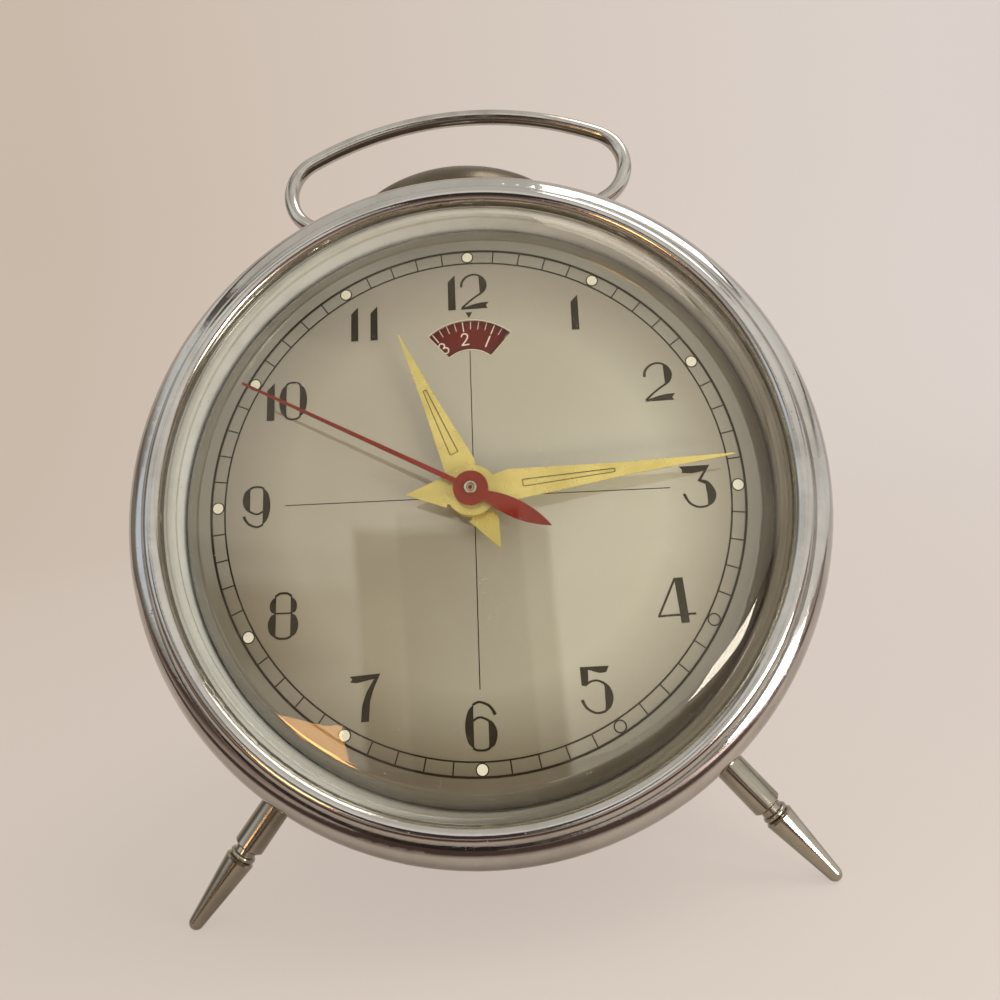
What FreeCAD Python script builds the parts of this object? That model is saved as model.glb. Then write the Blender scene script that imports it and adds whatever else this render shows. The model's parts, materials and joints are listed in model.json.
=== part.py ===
"""Wind-up alarm clock on two legs: case, bell, dial, hands and the whole wheelwork.

Every piece is modelled in the clock's own frame, in millimetres: x to the right seen from the front,
y up towards 12 and z towards the viewer, with z = 0 on the face of the dial and the hands' axis as
the z axis. At the end the clock is leaned back on its legs and set on the ground.
"""
import FreeCAD
import Part
import math
import os

V = FreeCAD.Vector
AXIS = V(0, 0, 1)
ORIGIN = V(0, 0, 0)

# Clearances
running_gap = 0.05        # radial play of a shaft in its hole
slide_gap = 0.08          # radial play of loose pipes and washers
seat_gap = 0.05           # between fixed pieces that are pushed together
end_shake = 0.15          # play of an arbor along its axis
free_gap = 0.4            # least room between pieces that pass each other

# Case
drum_radius = 57.0
drum_wall = 0.8
drum_front_z = 1.0
drum_back_z = -48.0
drum_edge_round = 2.0
drum_flange = 6.0         # inward flange at the back that carries the cover
bezel_overhang = 3.0      # how far the bezel stands out beyond the drum
bezel_radius = drum_radius + bezel_overhang
bezel_wall = 0.9
bezel_front_z = 7.4
bezel_lip_width = 7.6     # from the bezel's outside to its opening
bezel_lip_radius = bezel_radius - bezel_lip_width
bezel_groove_width = 4.1  # from the bezel's outside to its groove
bezel_groove_radius = bezel_radius - bezel_groove_width
bezel_skirt_z = -6.5
bezel_valley_drop = 2.4   # bottom of the groove below the bezel's front
bezel_bead_drop = 1.5     # inner edge of the bead below the bezel's front
bezel_round_drop = 6.8    # where the outside becomes straight
bezel_seat_depth = 3.8    # of the wall that holds the glass and the ring
glass_hold = 1.8          # how far the lip reaches over the glass
glass_radius = bezel_lip_radius + glass_hold
glass_thickness = 1.5
glass_rise = 7.0
glass_brim_rise = 4.5     # of which the steep brim takes this much
glass_brim_width = 5.6
glass_seat_z = 5.1        # outer face of the glass at its edge
ring_step = 0.5           # the ring's bore is this much smaller than the bezel's opening
ring_radius = bezel_lip_radius - ring_step
ring_wall = 0.6

# Dial
dial_sheet = 0.4
dial_tuck = 0.1           # the dial's bent edge is this much smaller than the ring's bore
dial_bend = 3.3           # radius of the dial's bent edge
dial_rim_width = 1.8      # flat rim outside the bend
dial_edge_radius = ring_radius - dial_tuck
dial_flat_radius = dial_edge_radius - dial_bend
dial_radius = dial_edge_radius + dial_rim_width
dial_rim_drop = 4.4
dial_hole_radius = 3.4
window_outer = 11.3
window_inner = 5.8
window_half_angle = 41.0
alarm_disc_radius = 12.6
alarm_disc_gap = 0.5
alarm_disc_sheet = 0.4

# Handle
handle_wire = 3.2
handle_z = -24.0
handle_rise = 35.6        # top of the wire's centre line above the drum
handle_top = drum_radius + handle_rise
handle_end_radius = 8.9   # the loop's round ends
handle_end_x = 28.2
handle_end_drop = 15.6    # middle of a round end below the top of the loop
handle_tuck_angle = 25.0  # the wire dips this much where it leaves the round end
handle_tuck_radius = 5.0  # of the bend that turns it down into the drum
handle_collar_radius = 3.2
handle_collar_height = 1.6
nut_across = 6.0
nut_height = 2.4

# Bell
bell_radius = 24.5
bell_wall = 0.9
bell_dome_radius = 34.0
bell_shoulder_radius = 7.0
bell_height = 12.0
bell_rise = 16.5          # outer top of the dome above the drum
bell_top = drum_radius + bell_rise
bell_z = -24.0
post_radius = 2.2
post_thread_radius = 1.6
post_foot_radius = 3.7
bell_nut_radius = 3.4
bell_nut_height = 2.6

# Legs
leg_angle = 38.8
leg_z = -11.0
leg_radius = 2.7
leg_length = 30.6         # from the drum to the end of the leg
leg_tip_at = drum_radius + leg_length
leg_tip_radius = 1.3
leg_shank = 14.6          # from the drum to the neck
leg_neck_at = drum_radius + leg_shank
leg_neck_radius = 1.9
leg_neck_length = 1.1
leg_bead_length = 0.9
leg_collar_radius = 4.0
leg_collar_height = 1.2
leg_stud_radius = 1.7
post_nut_across = 7.0
nut_under_end = 1.2       # a stud or wire ends this far below its nut

# Back cover and what shows behind it
cover_sheet = 0.8
cover_step = 1.2
dish_play = 0.6           # between the cover's dished middle and the drum's flange
dish_corner = 0.4         # the dish's inner corner stands this far in from its outer one
cover_radius = drum_radius - drum_edge_round - seat_gap
cover_screw_inset = 4.4   # from the drum's outside to the screws' circle
cover_screw_circle = drum_radius - cover_screw_inset
cover_screw_radius = 1.2
cover_screw_head = 2.3
cover_screw_head_height = 1.4
cover_screw_length = 4.5
screw_slot_width = 0.6
screw_slot_depth = 0.6
rim_screw_angles = (90.0, 210.0, 330.0)
key_width = 21.0
key_height = 13.0
key_thickness = 2.2
key_hub_radius = 3.4
key_hub_length = 6.0
key_hole_radius = 2.6
key_hole_shift = 2.2      # of each hole from the middle of its wing
time_key_turn = 20.0
alarm_key_turn = 65.0
key_stand = 5.0           # middle of the keys behind the drum's back edge
key_z = drum_back_z - key_stand
set_knob_radius = 6.0
set_knob_thickness = 5.0
set_knob_stand = 4.0      # middle of the knobs behind the drum's back edge
set_knob_z = drum_back_z - set_knob_stand
knob_flutes = 12
knob_flute_radius = 0.55
knob_bevel = 0.6
stop_button_radius = 3.0
stop_rod_radius = 1.5
stop_travel = 4.0
stop_inset = 5.8          # from the plate's edge to the stop button
stop_direction = 122.3

# Movement
movement_turn = 2.8       # the movement sits this many degrees clockwise in its case
plate_sheet = 1.2
front_plate_z = -10.0     # front face of the front plate
back_plate_z = -34.0      # front face of the back plate
plate_pivot_radius = 0.5
plate_radius = 46.0
plate_bay_angles = (-55.0, 25.0, 80.0, 150.0, 250.0)
plate_bay_radius = 9.0
plate_bay_out = 3.0       # centres of the bays outside the plate's edge
pillar_inset = 3.5
pillar_angles = (-90.0, -10.0, 62.0, 180.0)
pillar_radius = 2.0
pillar_neck_radius = 1.3
pillar_nut_across = 4.5
pillar_nut_height = 1.6
post_inset = 6.6          # from the plate's edge to the posts that stand on the cover
post_angles = (100.0, 235.0, -32.0)
cover_post_radius = 2.4
post_bore_depth = 5.5
tenon_radius = 0.9        # thin ends that sit in the plates
dial_foot_circle = 34.0
dial_foot_angles = (0.0, 130.0, 250.0)
dial_foot_radius = 1.6
bridge_feet_places = ((16.4, 75.0), (16.0, 190.0))     # radius and angle of each
bridge_foot_radius = 1.5
bridge_half_width = 3.0
bridge_sheet = 1.0

# Wheels: tooth counts, and the distances that set their modules
centre_teeth = 48
third_leaves = 6
third_teeth = 45
fourth_leaves = 6
fourth_teeth = 48
escape_leaves = 6
escape_teeth = 15
great_teeth = 60
centre_leaves = 12
cannon_leaves = 12
minute_teeth = 36
minute_leaves = 10
hour_teeth = 40
alarm_teeth = 40
set_leaves = 12
alarm_great_teeth = 56
star_leaves = 8
star_teeth = 12
ratchet_teeth = 16
third_distance = 14.1
escape_distance = 14.2
time_distance = 21.6
alarm_arbor_y = 21.4
star_distance = 17.6
third_direction = 150.0
escape_direction = 45.0
time_direction = -50.0
minute_direction = 25.0
set_direction = 58.0
alarm_great_x = -24.0
alarm_great_y = -20.0
star_direction = 100.0
tooth_drop = 1.25         # depth of a tooth below the pitch circle, in modules
wheel_sheet = 0.9
great_sheet = 1.5
motion_sheet = 1.0        # wheels under the dial
cheek = 0.6               # brass discs of the pinions made of pins
wheel_rim = 1.7
wheel_hub = 2.4
wide_hub = 4.0

# Levels: how far the wheels stand from the plates
centre_wheel_drop = 2.8   # behind the front plate
great_wheel_drop = 6.3
bridge_drop = 11.2
fourth_wheel_rise = 4.6   # in front of the back plate
escape_wheel_rise = 7.6
lever_rise = 9.1
third_wheel_rise = 9.3
balance_rise = 13.1
hairspring_rise = 3.7
star_wheel_rise = 3.6
cannon_rise = 1.2         # in front of the front plate
hour_wheel_rise = 3.6     # in front of the front plate
minute_wheel_rise = 0.2   # in front of the cannon pinion's back end

# Escapement
escape_radius = 8.0
escape_tooth_depth = 1.9
escape_rim = 1.3
escape_arm_half_angle = 12.0
lever_pin_angle = 30.0
lever_pin_radius = 0.35
lever_pin_gap = 0.1
lever_sheet = 0.8
lever_distance = 9.6
lever_direction = -8.0
balance_distance = 11.4
balance_direction = 4.0
balance_radius = 10.0
balance_rim = 1.3
balance_sheet = 1.2
balance_hub = 2.2
balance_arm_width = 1.6
balance_staff_radius = 0.9
balance_pivot_radius = 0.6
balance_screw_radius = 1.6
balance_screw_flange = 0.9
balance_screw_head = 1.4
impulse_circle = 3.0
impulse_pin_radius = 0.3
cup_depth = 1.0
screw_reach = 1.6         # how far a pivot screw stands in from its plate
hairspring_outer = 6.2
hairspring_inner = 1.3
hairspring_turns = 6
hairspring_strip = 0.12
hairspring_height = 0.6
hairspring_end_angle = 200.0
hairspring_stud_radius = 0.6
regulator_middle = 85.0
regulator_reach = 14.5
regulator_slot = (13.5, 15.5, 55.0, 115.0)   # inner and outer radius, first and last angle

# Winding work, the same for the time and the alarm side
click_circle = 9.2
click_arm_angle = 36.0    # the click's nose stands this far round the ratchet from its pivot
click_pin_radius = 0.8
click_eye_radius = 1.7
click_sheet = 1.0
time_click_angle = 150.0
alarm_click_angle = 60.0
ratchet_radius = 7.0
ratchet_depth = 0.9
ratchet_lead = 3.8        # degrees from a tooth to the nose of the resting click
mainspring_gap = 0.6      # from the winding arbor to the first turn
mainspring_outer = 14.0
mainspring_turns = 7
mainspring_strip = 0.45
mainspring_height = 9.0
spring_post_radius = 0.9
mainspring_end_angle = 0.0

# Alarm work
star_radius = 6.8
star_tooth_depth = 2.0
hammer_from_star = 8.9
hammer_direction = 100.0
hammer_pin_angle = 33.0
hammer_pin_radius = 0.5
hammer_pin_gap = 0.12
hammer_sheet = 1.0
hammer_hub_radius = 2.2
hammer_arm_half = 1.2
hammer_head_radius = 1.9
hammer_head_length = 3.0
hammer_head_inset = 7.5   # middle of the resting head inside the bell's wall
hammer_head_rise = 1.6    # and above the bell's rim
hammer_swing = 2.4
hammer_slot_length = 9.0
hammer_slot_width = 4.0

# Hands: the time they show, and their outlines
seconds_shown = 49.6
minutes_shown = 14.1
hours_shown = 11 + minutes_shown / 60
hour_hand_length = 31.5
hour_hand_tail = 10.4
hour_hand_tail_angle = 2.0
hour_blade = (5.2, 2.75, 19.0, 1.15)         # widest place, half width, a place further out, half width
hour_panel = (7.5, 20.0, 0.75, 0.3)          # sunk panel: start, end, and half widths there
minute_hand_length = 43.9
minute_hand_tail = 10.8
minute_hand_tail_angle = -3.6
minute_blade = (6.4, 2.7, 25.0, 1.15)
minute_panel = (8.6, 24.0, 0.6, 0.3)
panel_depth = 0.12
pipe_step = 0.15          # the pipes are this much thinner where the hands sit
second_hand_length = 43.7
second_hand_tail = 14.7
hand_boss_radius = 4.3
second_hub_radius = 2.9
hour_hand_z = 3.4
minute_hand_z = 5.2
second_hand_z = 7.0
hand_sheet = 0.4

# Arbor radii, from the inside out at the centre
second_arbor_radius = 0.55
centre_pipe_radius = 1.0
cannon_pipe_radius = 1.5
hour_bush_radius = 2.0
hour_pipe_radius = 2.6
small_bush_radius = 1.5
arbor_radius = 0.9
train_arbor_radius = 0.7
winding_arbor_radius = 2.0
winding_pivot_radius = 1.2


def at_angle(radius, degrees, centre=(0.0, 0.0)):
    """Point on a circle, with 0 degrees to the right and 90 up."""
    a = math.radians(degrees)
    return (centre[0] + radius * math.cos(a), centre[1] + radius * math.sin(a))


def distance(p, q):
    return math.hypot(p[0] - q[0], p[1] - q[1])


# Places of the arbors in the movement
centre_at = (0.0, 0.0)
alarm_at = (0.0, alarm_arbor_y)
third_at = at_angle(third_distance, third_direction)
escape_at = at_angle(escape_distance, escape_direction)
lever_at = at_angle(lever_distance, lever_direction, escape_at)
balance_at = at_angle(balance_distance, balance_direction, lever_at)
time_at = at_angle(time_distance, time_direction)
alarm_great_at = (alarm_great_x, alarm_great_y)
star_at = at_angle(star_distance, star_direction, alarm_great_at)
hammer_at = at_angle(hammer_from_star, hammer_direction, star_at)

# Modules
centre_module = 2 * third_distance / (centre_teeth + third_leaves)
third_module = 2 * third_distance / (third_teeth + fourth_leaves)
fourth_module = 2 * escape_distance / (fourth_teeth + escape_leaves)
great_module = 2 * time_distance / (great_teeth + centre_leaves)
hour_module = 2 * alarm_arbor_y / (hour_teeth + alarm_teeth)
minute_distance = hour_module * (hour_teeth + minute_leaves) / 2
cannon_module = 2 * minute_distance / (cannon_leaves + minute_teeth)
set_distance = cannon_module * (minute_teeth + set_leaves) / 2
alarm_great_module = 2 * star_distance / (alarm_great_teeth + star_leaves)
minute_at = at_angle(minute_distance, minute_direction)
set_at = at_angle(set_distance, set_direction, minute_at)

# Levels of the movement, from the front plate to the back plate
front_in = front_plate_z - plate_sheet
back_in = back_plate_z
back_out = back_plate_z - plate_sheet
centre_wheel_z = front_in - centre_wheel_drop
great_wheel_z = front_in - great_wheel_drop
ratchet_z = great_wheel_z + great_sheet + free_gap
bridge_z = front_in - bridge_drop
mainspring_top = great_wheel_z - mainspring_strip * 2
third_wheel_z = back_in + third_wheel_rise
fourth_wheel_z = back_in + fourth_wheel_rise
escape_wheel_z = back_in + escape_wheel_rise
lever_z = back_in + lever_rise
balance_z = back_in + balance_rise
hairspring_z = back_in + hairspring_rise
star_wheel_z = back_in + star_wheel_rise
hammer_z = star_wheel_z + wheel_sheet + free_gap
cannon_z = front_plate_z + cannon_rise
minute_wheel_z = cannon_z + minute_wheel_rise
hour_wheel_z = front_plate_z + hour_wheel_rise
disc_back_z = -dial_sheet - alarm_disc_gap - alarm_disc_sheet

# Levels of the back cover
cover_out_z = drum_back_z + drum_wall + seat_gap       # back face of the cover's rim
cover_in_z = cover_out_z + cover_sheet                 # front face of the cover's rim
dish_out_z = cover_out_z - cover_step                  # back face of the cover's dished middle
dish_in_z = dish_out_z + cover_sheet
dish_radius = drum_radius - drum_wall - drum_flange - dish_play

# Places on the plates and the cover
train_pivots = [third_at, escape_at, lever_at, star_at, hammer_at]
pillar_places = [at_angle(plate_radius - pillar_inset, a) for a in pillar_angles]
bridge_feet = [at_angle(radius, angle) for radius, angle in bridge_feet_places]
dial_feet_places = [at_angle(dial_foot_circle, a) for a in dial_foot_angles]
rim_screw_holes = [at_angle(cover_screw_circle, a) for a in rim_screw_angles]
post_places = [at_angle(plate_radius - post_inset, a) for a in post_angles]
stop_at = at_angle(plate_radius - stop_inset, stop_direction)


# Shapes that the pieces are made from
def rod(radius, z0, z1, at=(0.0, 0.0)):
    low, high = min(z0, z1), max(z0, z1)
    return Part.makeCylinder(radius, high - low, V(at[0], at[1], low))


def pipe(outer, inner, z0, z1, at=(0.0, 0.0)):
    return rod(outer, z0, z1, at).cut(rod(inner, z0, z1, at))


def profile(points):
    """Closed outline in the r-z plane: each step is a point, or the middle and end points of an arc."""
    edges = []
    here = points[0]
    for step in list(points[1:]) + [points[0]]:
        if len(step) == 2 and isinstance(step[0], tuple):
            middle, end = step
            arc = Part.Arc(V(here[0], 0, here[1]), V(middle[0], 0, middle[1]), V(end[0], 0, end[1]))
            edges.append(arc.toShape())
            here = end
        elif distance(here, step) > 1e-6:
            edges.append(Part.makeLine(V(here[0], 0, here[1]), V(step[0], 0, step[1])))
            here = step
    return Part.Face(Part.Wire(edges))


def turned(points, at=(0.0, 0.0)):
    """Solid turned about an axis parallel to z."""
    solid = profile(points).revolve(ORIGIN, AXIS, 360)
    solid.translate(V(at[0], at[1], 0))
    return solid


def joined(shapes):
    first = shapes[0]
    if len(shapes) == 1:
        return first
    return first.fuse(shapes[1:]).removeSplitter()


def less(shape, cutters):
    for cutter in cutters:
        shape = shape.cut(cutter)
    return shape


def spun(shape, degrees, at=(0.0, 0.0)):
    copy = shape.copy()
    copy.rotate(V(at[0], at[1], 0), AXIS, degrees)
    return copy


def outline(points, z):
    corners = [V(x, y, z) for x, y in points]
    return Part.makePolygon(corners + [corners[0]])


def circle_wire(radius, z, at=(0.0, 0.0)):
    return Part.Wire([Part.Circle(V(at[0], at[1], z), AXIS, radius).toShape()])


def sector_wire(inner, outer, start, end, z, at=(0.0, 0.0)):
    """Outline between two radii and two angles."""
    middle = (start + end) / 2

    def point(radius, angle):
        x, y = at_angle(radius, angle, at)
        return V(x, y, z)

    return Part.Wire([
        Part.Arc(point(outer, start), point(outer, middle), point(outer, end)).toShape(),
        Part.makeLine(point(outer, end), point(inner, end)),
        Part.Arc(point(inner, end), point(inner, middle), point(inner, start)).toShape(),
        Part.makeLine(point(inner, start), point(outer, start)),
    ])


def sheet(outer, holes, thickness):
    """Flat sheet with holes, thickened along +z."""
    face = Part.makeFace([outer] + holes, "Part::FaceMakerBullseye")
    return face.extrude(V(0, 0, thickness))


def tooth_points(teeth, module, tip_share=0.22, root_share=0.62, turn=0.0, rise=1.0):
    """Points of a toothed outline: each tooth is a tapered flank pair with a narrow tip."""
    pitch_radius = teeth * module / 2
    pitch = math.pi * module
    root = pitch_radius - tooth_drop * module
    tip = pitch_radius + rise * module
    points = []
    for i in range(teeth):
        middle = 2 * math.pi * i / teeth + math.radians(turn)
        for radius, half in ((root, root_share), (tip, tip_share), (tip, -tip_share), (root, -root_share)):
            a = middle - half * pitch / 2 / radius
            points.append((radius * math.cos(a), radius * math.sin(a)))
    return points


def toothed_wheel(teeth, module, z, thickness, at, turn, bore, hub=wheel_hub, arms=4, arm_half=7.0):
    """Wheel blank with its teeth, bore and crossings."""
    rim = teeth * module / 2 - tooth_drop * module - wheel_rim
    holes = [circle_wire(bore, z)]
    if arms and rim - hub > 2.5:
        for i in range(arms):
            start = 360.0 * i / arms + arm_half + turn
            holes.append(sector_wire(hub, rim, start, start + 360.0 / arms - 2 * arm_half, z))
    wheel = sheet(outline(tooth_points(teeth, module, turn=turn), z), holes, thickness)
    wheel.translate(V(at[0], at[1], 0))
    return wheel


def leaf_pinion(leaves, module, z0, z1, at, turn, core=0.0):
    """Solid pinion with narrow leaves."""
    points = tooth_points(leaves, module, tip_share=0.16, root_share=0.34, turn=turn, rise=0.9)
    pinion = sheet(outline(points, z0), [], z1 - z0)
    pinion.translate(V(at[0], at[1], 0))
    if core:
        pinion = pinion.cut(rod(core, z0, z1, at))
    return pinion


def lantern_pinion(leaves, module, z0, z1, at, turn, arbor):
    """Pinion of steel wire pins between two brass discs."""
    pitch_radius = leaves * module / 2
    pin = 0.17 * math.pi * module
    disc = pitch_radius + pin + 0.25
    pieces = [rod(disc, z0, z0 + cheek, at), rod(disc, z1 - cheek, z1, at)]
    for i in range(leaves):
        pieces.append(rod(pin, z0, z1, at_angle(pitch_radius, 360.0 * i / leaves + turn, at)))
    pieces.append(rod(arbor, z0, z1, at))
    return joined(pieces)


def mesh_turn(driver_teeth, driver_turn, follower_teeth, driver_at, follower_at, gap=True):
    """Turn of a follower so that it is in mesh with a driver that is turned by driver_turn."""
    line = math.degrees(math.atan2(follower_at[1] - driver_at[1], follower_at[0] - driver_at[0]))
    driver_phase = ((line - driver_turn) / (360.0 / driver_teeth)) % 1.0
    share = (0.5 if gap else 0.0) - driver_phase
    return line + 180.0 - share * 360.0 / follower_teeth


def tangent_arc_radius(run, rise, slope):
    """Radius of the arc that leaves a point at a slope and reaches another run away and rise below."""
    return (run * run + rise * rise) / (2 * (rise * math.cos(slope) - run * math.sin(slope)))


# Case
def make_drum():
    """Drum with a rounded edge behind and an inward flange there that carries the cover."""
    r, w, e = drum_radius, drum_wall, drum_edge_round
    q = math.sqrt(0.5)
    z0, z1 = drum_back_z, drum_front_z
    shell = turned([
        (r, z1), (r, z0 + e), ((r - e + e * q, z0 + e - e * q), (r - e, z0)), (r - w - drum_flange, z0),
        (r - w - drum_flange, z0 + w), (r - e, z0 + w),
        ((r - e + (e - w) * q, z0 + e - (e - w) * q), (r - w, z0 + e)), (r - w, z1),
    ])
    holes = [radial_rod(post_radius + seat_gap, r - 4, r + 2, 0.0, bell_z)]
    wire = handle_wire / 2 + seat_gap
    for side in (-1, 1):
        holes.append(radial_rod(wire, r - 5, r + 3, side * handle_entry_angle(), handle_z))
        holes.append(radial_rod(leg_stud_radius + seat_gap, r - 4, r + 2, 180 - side * leg_angle, leg_z))
    holes.append(into_case(hammer_slot()))
    for angle in rim_screw_angles:
        holes.append(into_case(rod(cover_screw_radius + seat_gap, z0 - 1, z0 + w + 1,
                                   at_angle(cover_screw_circle, angle))))
    return less(shell, holes)


def radial_rod(radius, start, end, clock_angle, z):
    """Rod square to the hands' axis, along the direction clock_angle degrees clockwise from 12."""
    a = math.radians(clock_angle)
    way = V(math.sin(a), math.cos(a), 0)
    return Part.makeCylinder(radius, end - start, way * start + V(0, 0, z), way)


def radial_turned(points, clock_angle, z):
    """Solid turned about a line square to the hands' axis: points are (radius, place along the line)."""
    solid = profile(points).revolve(ORIGIN, AXIS, 360)
    a = math.radians(clock_angle)
    solid.Placement = FreeCAD.Placement(V(0, 0, z), FreeCAD.Rotation(AXIS, V(math.sin(a), math.cos(a), 0)))
    return solid


def into_case(shape):
    """Turn a shape of the movement to the way the movement sits in its case."""
    return spun(shape, -movement_turn)


def make_bezel():
    """Pressed bezel: a bead round the glass, a groove, a round outside and a hem behind."""
    lip, groove, r, w = bezel_lip_radius, bezel_groove_radius, bezel_radius, bezel_wall
    front, back = bezel_front_z, bezel_skirt_z
    seat = glass_seat_z + seat_gap
    hold = glass_radius + 2 * seat_gap
    fit = drum_radius + 2 * seat_gap
    bead_end = groove - 0.3
    valley = front - bezel_valley_drop
    seat_end = glass_seat_z - glass_thickness - bezel_seat_depth
    return turned([
        (lip, seat), (lip, front - bezel_bead_drop),
        (((lip + bead_end) / 2, front), (bead_end, front - 1.8)),
        (groove, valley), (groove + 0.4, valley + 0.3),
        ((r - 1.1, front - 3.45), (r, front - bezel_round_drop)),
        (r, back + 2.9), ((r - 0.5, back + 1.1), (r - 1.8, back)),
        (fit, back), (fit, back + w), (r - 2.0, back + w), (r - w, back + 2.9),
        (r - w, front - 6.9), ((r - w - 0.8, front - 4.4), (groove + 0.7, front - 3.3)),
        (hold + w, front - 3.5), (hold + w, seat_end), (hold, seat_end), (hold, seat),
    ])


def make_glass():
    """Domed glass with a steep brim and a flat edge that sits under the bezel's lip."""
    brim = bezel_lip_radius - free_gap
    shoulder = brim - glass_brim_width
    rise = glass_brim_rise
    crown = glass_rise - rise
    crown_radius = (shoulder ** 2 + crown ** 2) / (2 * crown)
    slope = math.asin(shoulder / crown_radius)
    bend = tangent_arc_radius(brim - shoulder, rise, slope)
    cx = shoulder - bend * math.sin(slope)
    cz = glass_seat_z + rise - bend * math.cos(slope)
    top = glass_seat_z + glass_rise

    def curve(inset):
        b = bend - inset
        big = crown_radius - inset
        level = glass_seat_z - inset
        first = math.asin((level - cz) / b)
        last = math.pi / 2 - slope
        middle = (first + last) / 2
        half = slope / 2
        return (
            (cx + b * math.cos(first), level),
            ((cx + b * math.cos(middle), cz + b * math.sin(middle)),
             (cx + b * math.cos(last), cz + b * math.sin(last))),
            ((big * math.sin(half), top - crown_radius + big * math.cos(half)), (0.0, top - inset)),
        )

    outer = curve(0.0)
    inner = curve(glass_thickness)
    inner_shoulder = inner[1][1]
    return turned([
        (glass_radius, glass_seat_z), outer[0], outer[1], outer[2], (0.0, top - glass_thickness),
        (inner[2][0], inner_shoulder), (inner[1][0], inner[0]),
        (glass_radius, glass_seat_z - glass_thickness),
    ])


def make_dial_ring():
    """Ring that holds the dial back from the glass, with a flange under the glass's edge."""
    flange_z = glass_seat_z - glass_thickness - seat_gap
    back = -dial_rim_drop + dial_sheet + seat_gap
    r, w = ring_radius, ring_wall
    return turned([
        (r, flange_z), (r, back), (r + w, back), (r + w, flange_z - w), (glass_radius, flange_z - w),
        (glass_radius, flange_z),
    ])


def make_dial():
    """Dial with a bent edge, the alarm's fan-shaped window and three feet behind."""
    s, flat, drop = dial_sheet, dial_flat_radius, dial_rim_drop
    edge, bend = dial_edge_radius, dial_bend
    inner = bend - s
    q = math.sqrt(0.5)
    plate = turned([
        (dial_hole_radius, 0), (flat, 0), ((flat + bend * q, -bend * (1 - q)), (edge, -bend)),
        (edge, s - drop), (dial_radius, s - drop), (dial_radius, -drop), (edge - s, -drop),
        (edge - s, -bend), ((flat + inner * q, -bend + inner * q), (flat, -s)), (dial_hole_radius, -s),
    ])
    window = Part.Face(sector_wire(window_inner, window_outer, 90 - window_half_angle, 90 + window_half_angle,
                                   -1.0, alarm_at)).extrude(V(0, 0, 2))
    return joined([plate.cut(window)] + make_dial_feet())


def make_back_cover():
    """Dished cover with holes for its screws, the arbors, the stop button and the regulator."""
    r, d, w = cover_radius, dish_radius, cover_sheet
    plate = turned([
        (0, dish_out_z), (d - cover_step, dish_out_z), (d, cover_out_z), (r, cover_out_z), (r, cover_in_z),
        (d - dish_corner, cover_in_z), (d - dish_corner - cover_step, dish_in_z), (0, dish_in_z),
    ])
    low, high = dish_out_z - 1, cover_in_z + 1
    holes = [rod(cover_screw_radius + seat_gap, low, high, p) for p in rim_screw_holes + post_places]
    holes += [rod(winding_arbor_radius + free_gap, low, high, p) for p in (time_at, alarm_great_at)]
    holes += [rod(arbor_radius + free_gap, low, high, p) for p in (alarm_at, set_at)]
    holes.append(rod(stop_button_radius + free_gap / 2, low, high, stop_at))
    inner, outer, first, last = regulator_slot
    slot = sector_wire(inner, outer, first, last, low, balance_at)
    holes.append(Part.Face(slot).extrude(V(0, 0, high - low)))
    return less(plate, holes)


def cover_screw(at, seat_z):
    """Slotted cheese-head screw put in from behind, head against seat_z."""
    top = seat_z - cover_screw_head_height
    head = rod(cover_screw_head, top, seat_z, at)
    corner = V(at[0] - 2 * cover_screw_head, at[1] - screw_slot_width / 2, top - screw_slot_depth)
    slot = Part.makeBox(4 * cover_screw_head, screw_slot_width, 2 * screw_slot_depth, corner)
    return head.fuse(rod(cover_screw_radius, seat_z, seat_z + cover_screw_length, at)).cut(slot)


def make_cover_screws():
    """Three screws at the rim and three into the movement's posts."""
    rim = [cover_screw(p, drum_back_z) for p in rim_screw_holes]
    deep = [cover_screw(p, dish_out_z) for p in post_places]
    return Part.makeCompound(rim + deep)


def handle_end_centre():
    """Middle of the loop's right-hand round end."""
    return (handle_end_x, handle_top - handle_end_drop)


def handle_tuck_centre():
    """Middle of the bend that turns the right-hand end down into the drum."""
    apart = handle_end_radius + handle_tuck_radius
    return at_angle(apart, handle_tuck_angle - 90.0, handle_end_centre())


def handle_entry_angle():
    """Angle from 12 of the straight ends, which point at the clock's centre."""
    x, y = handle_tuck_centre()
    return math.degrees(math.atan2(x, y) - math.asin(handle_tuck_radius / math.hypot(x, y)))


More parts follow.
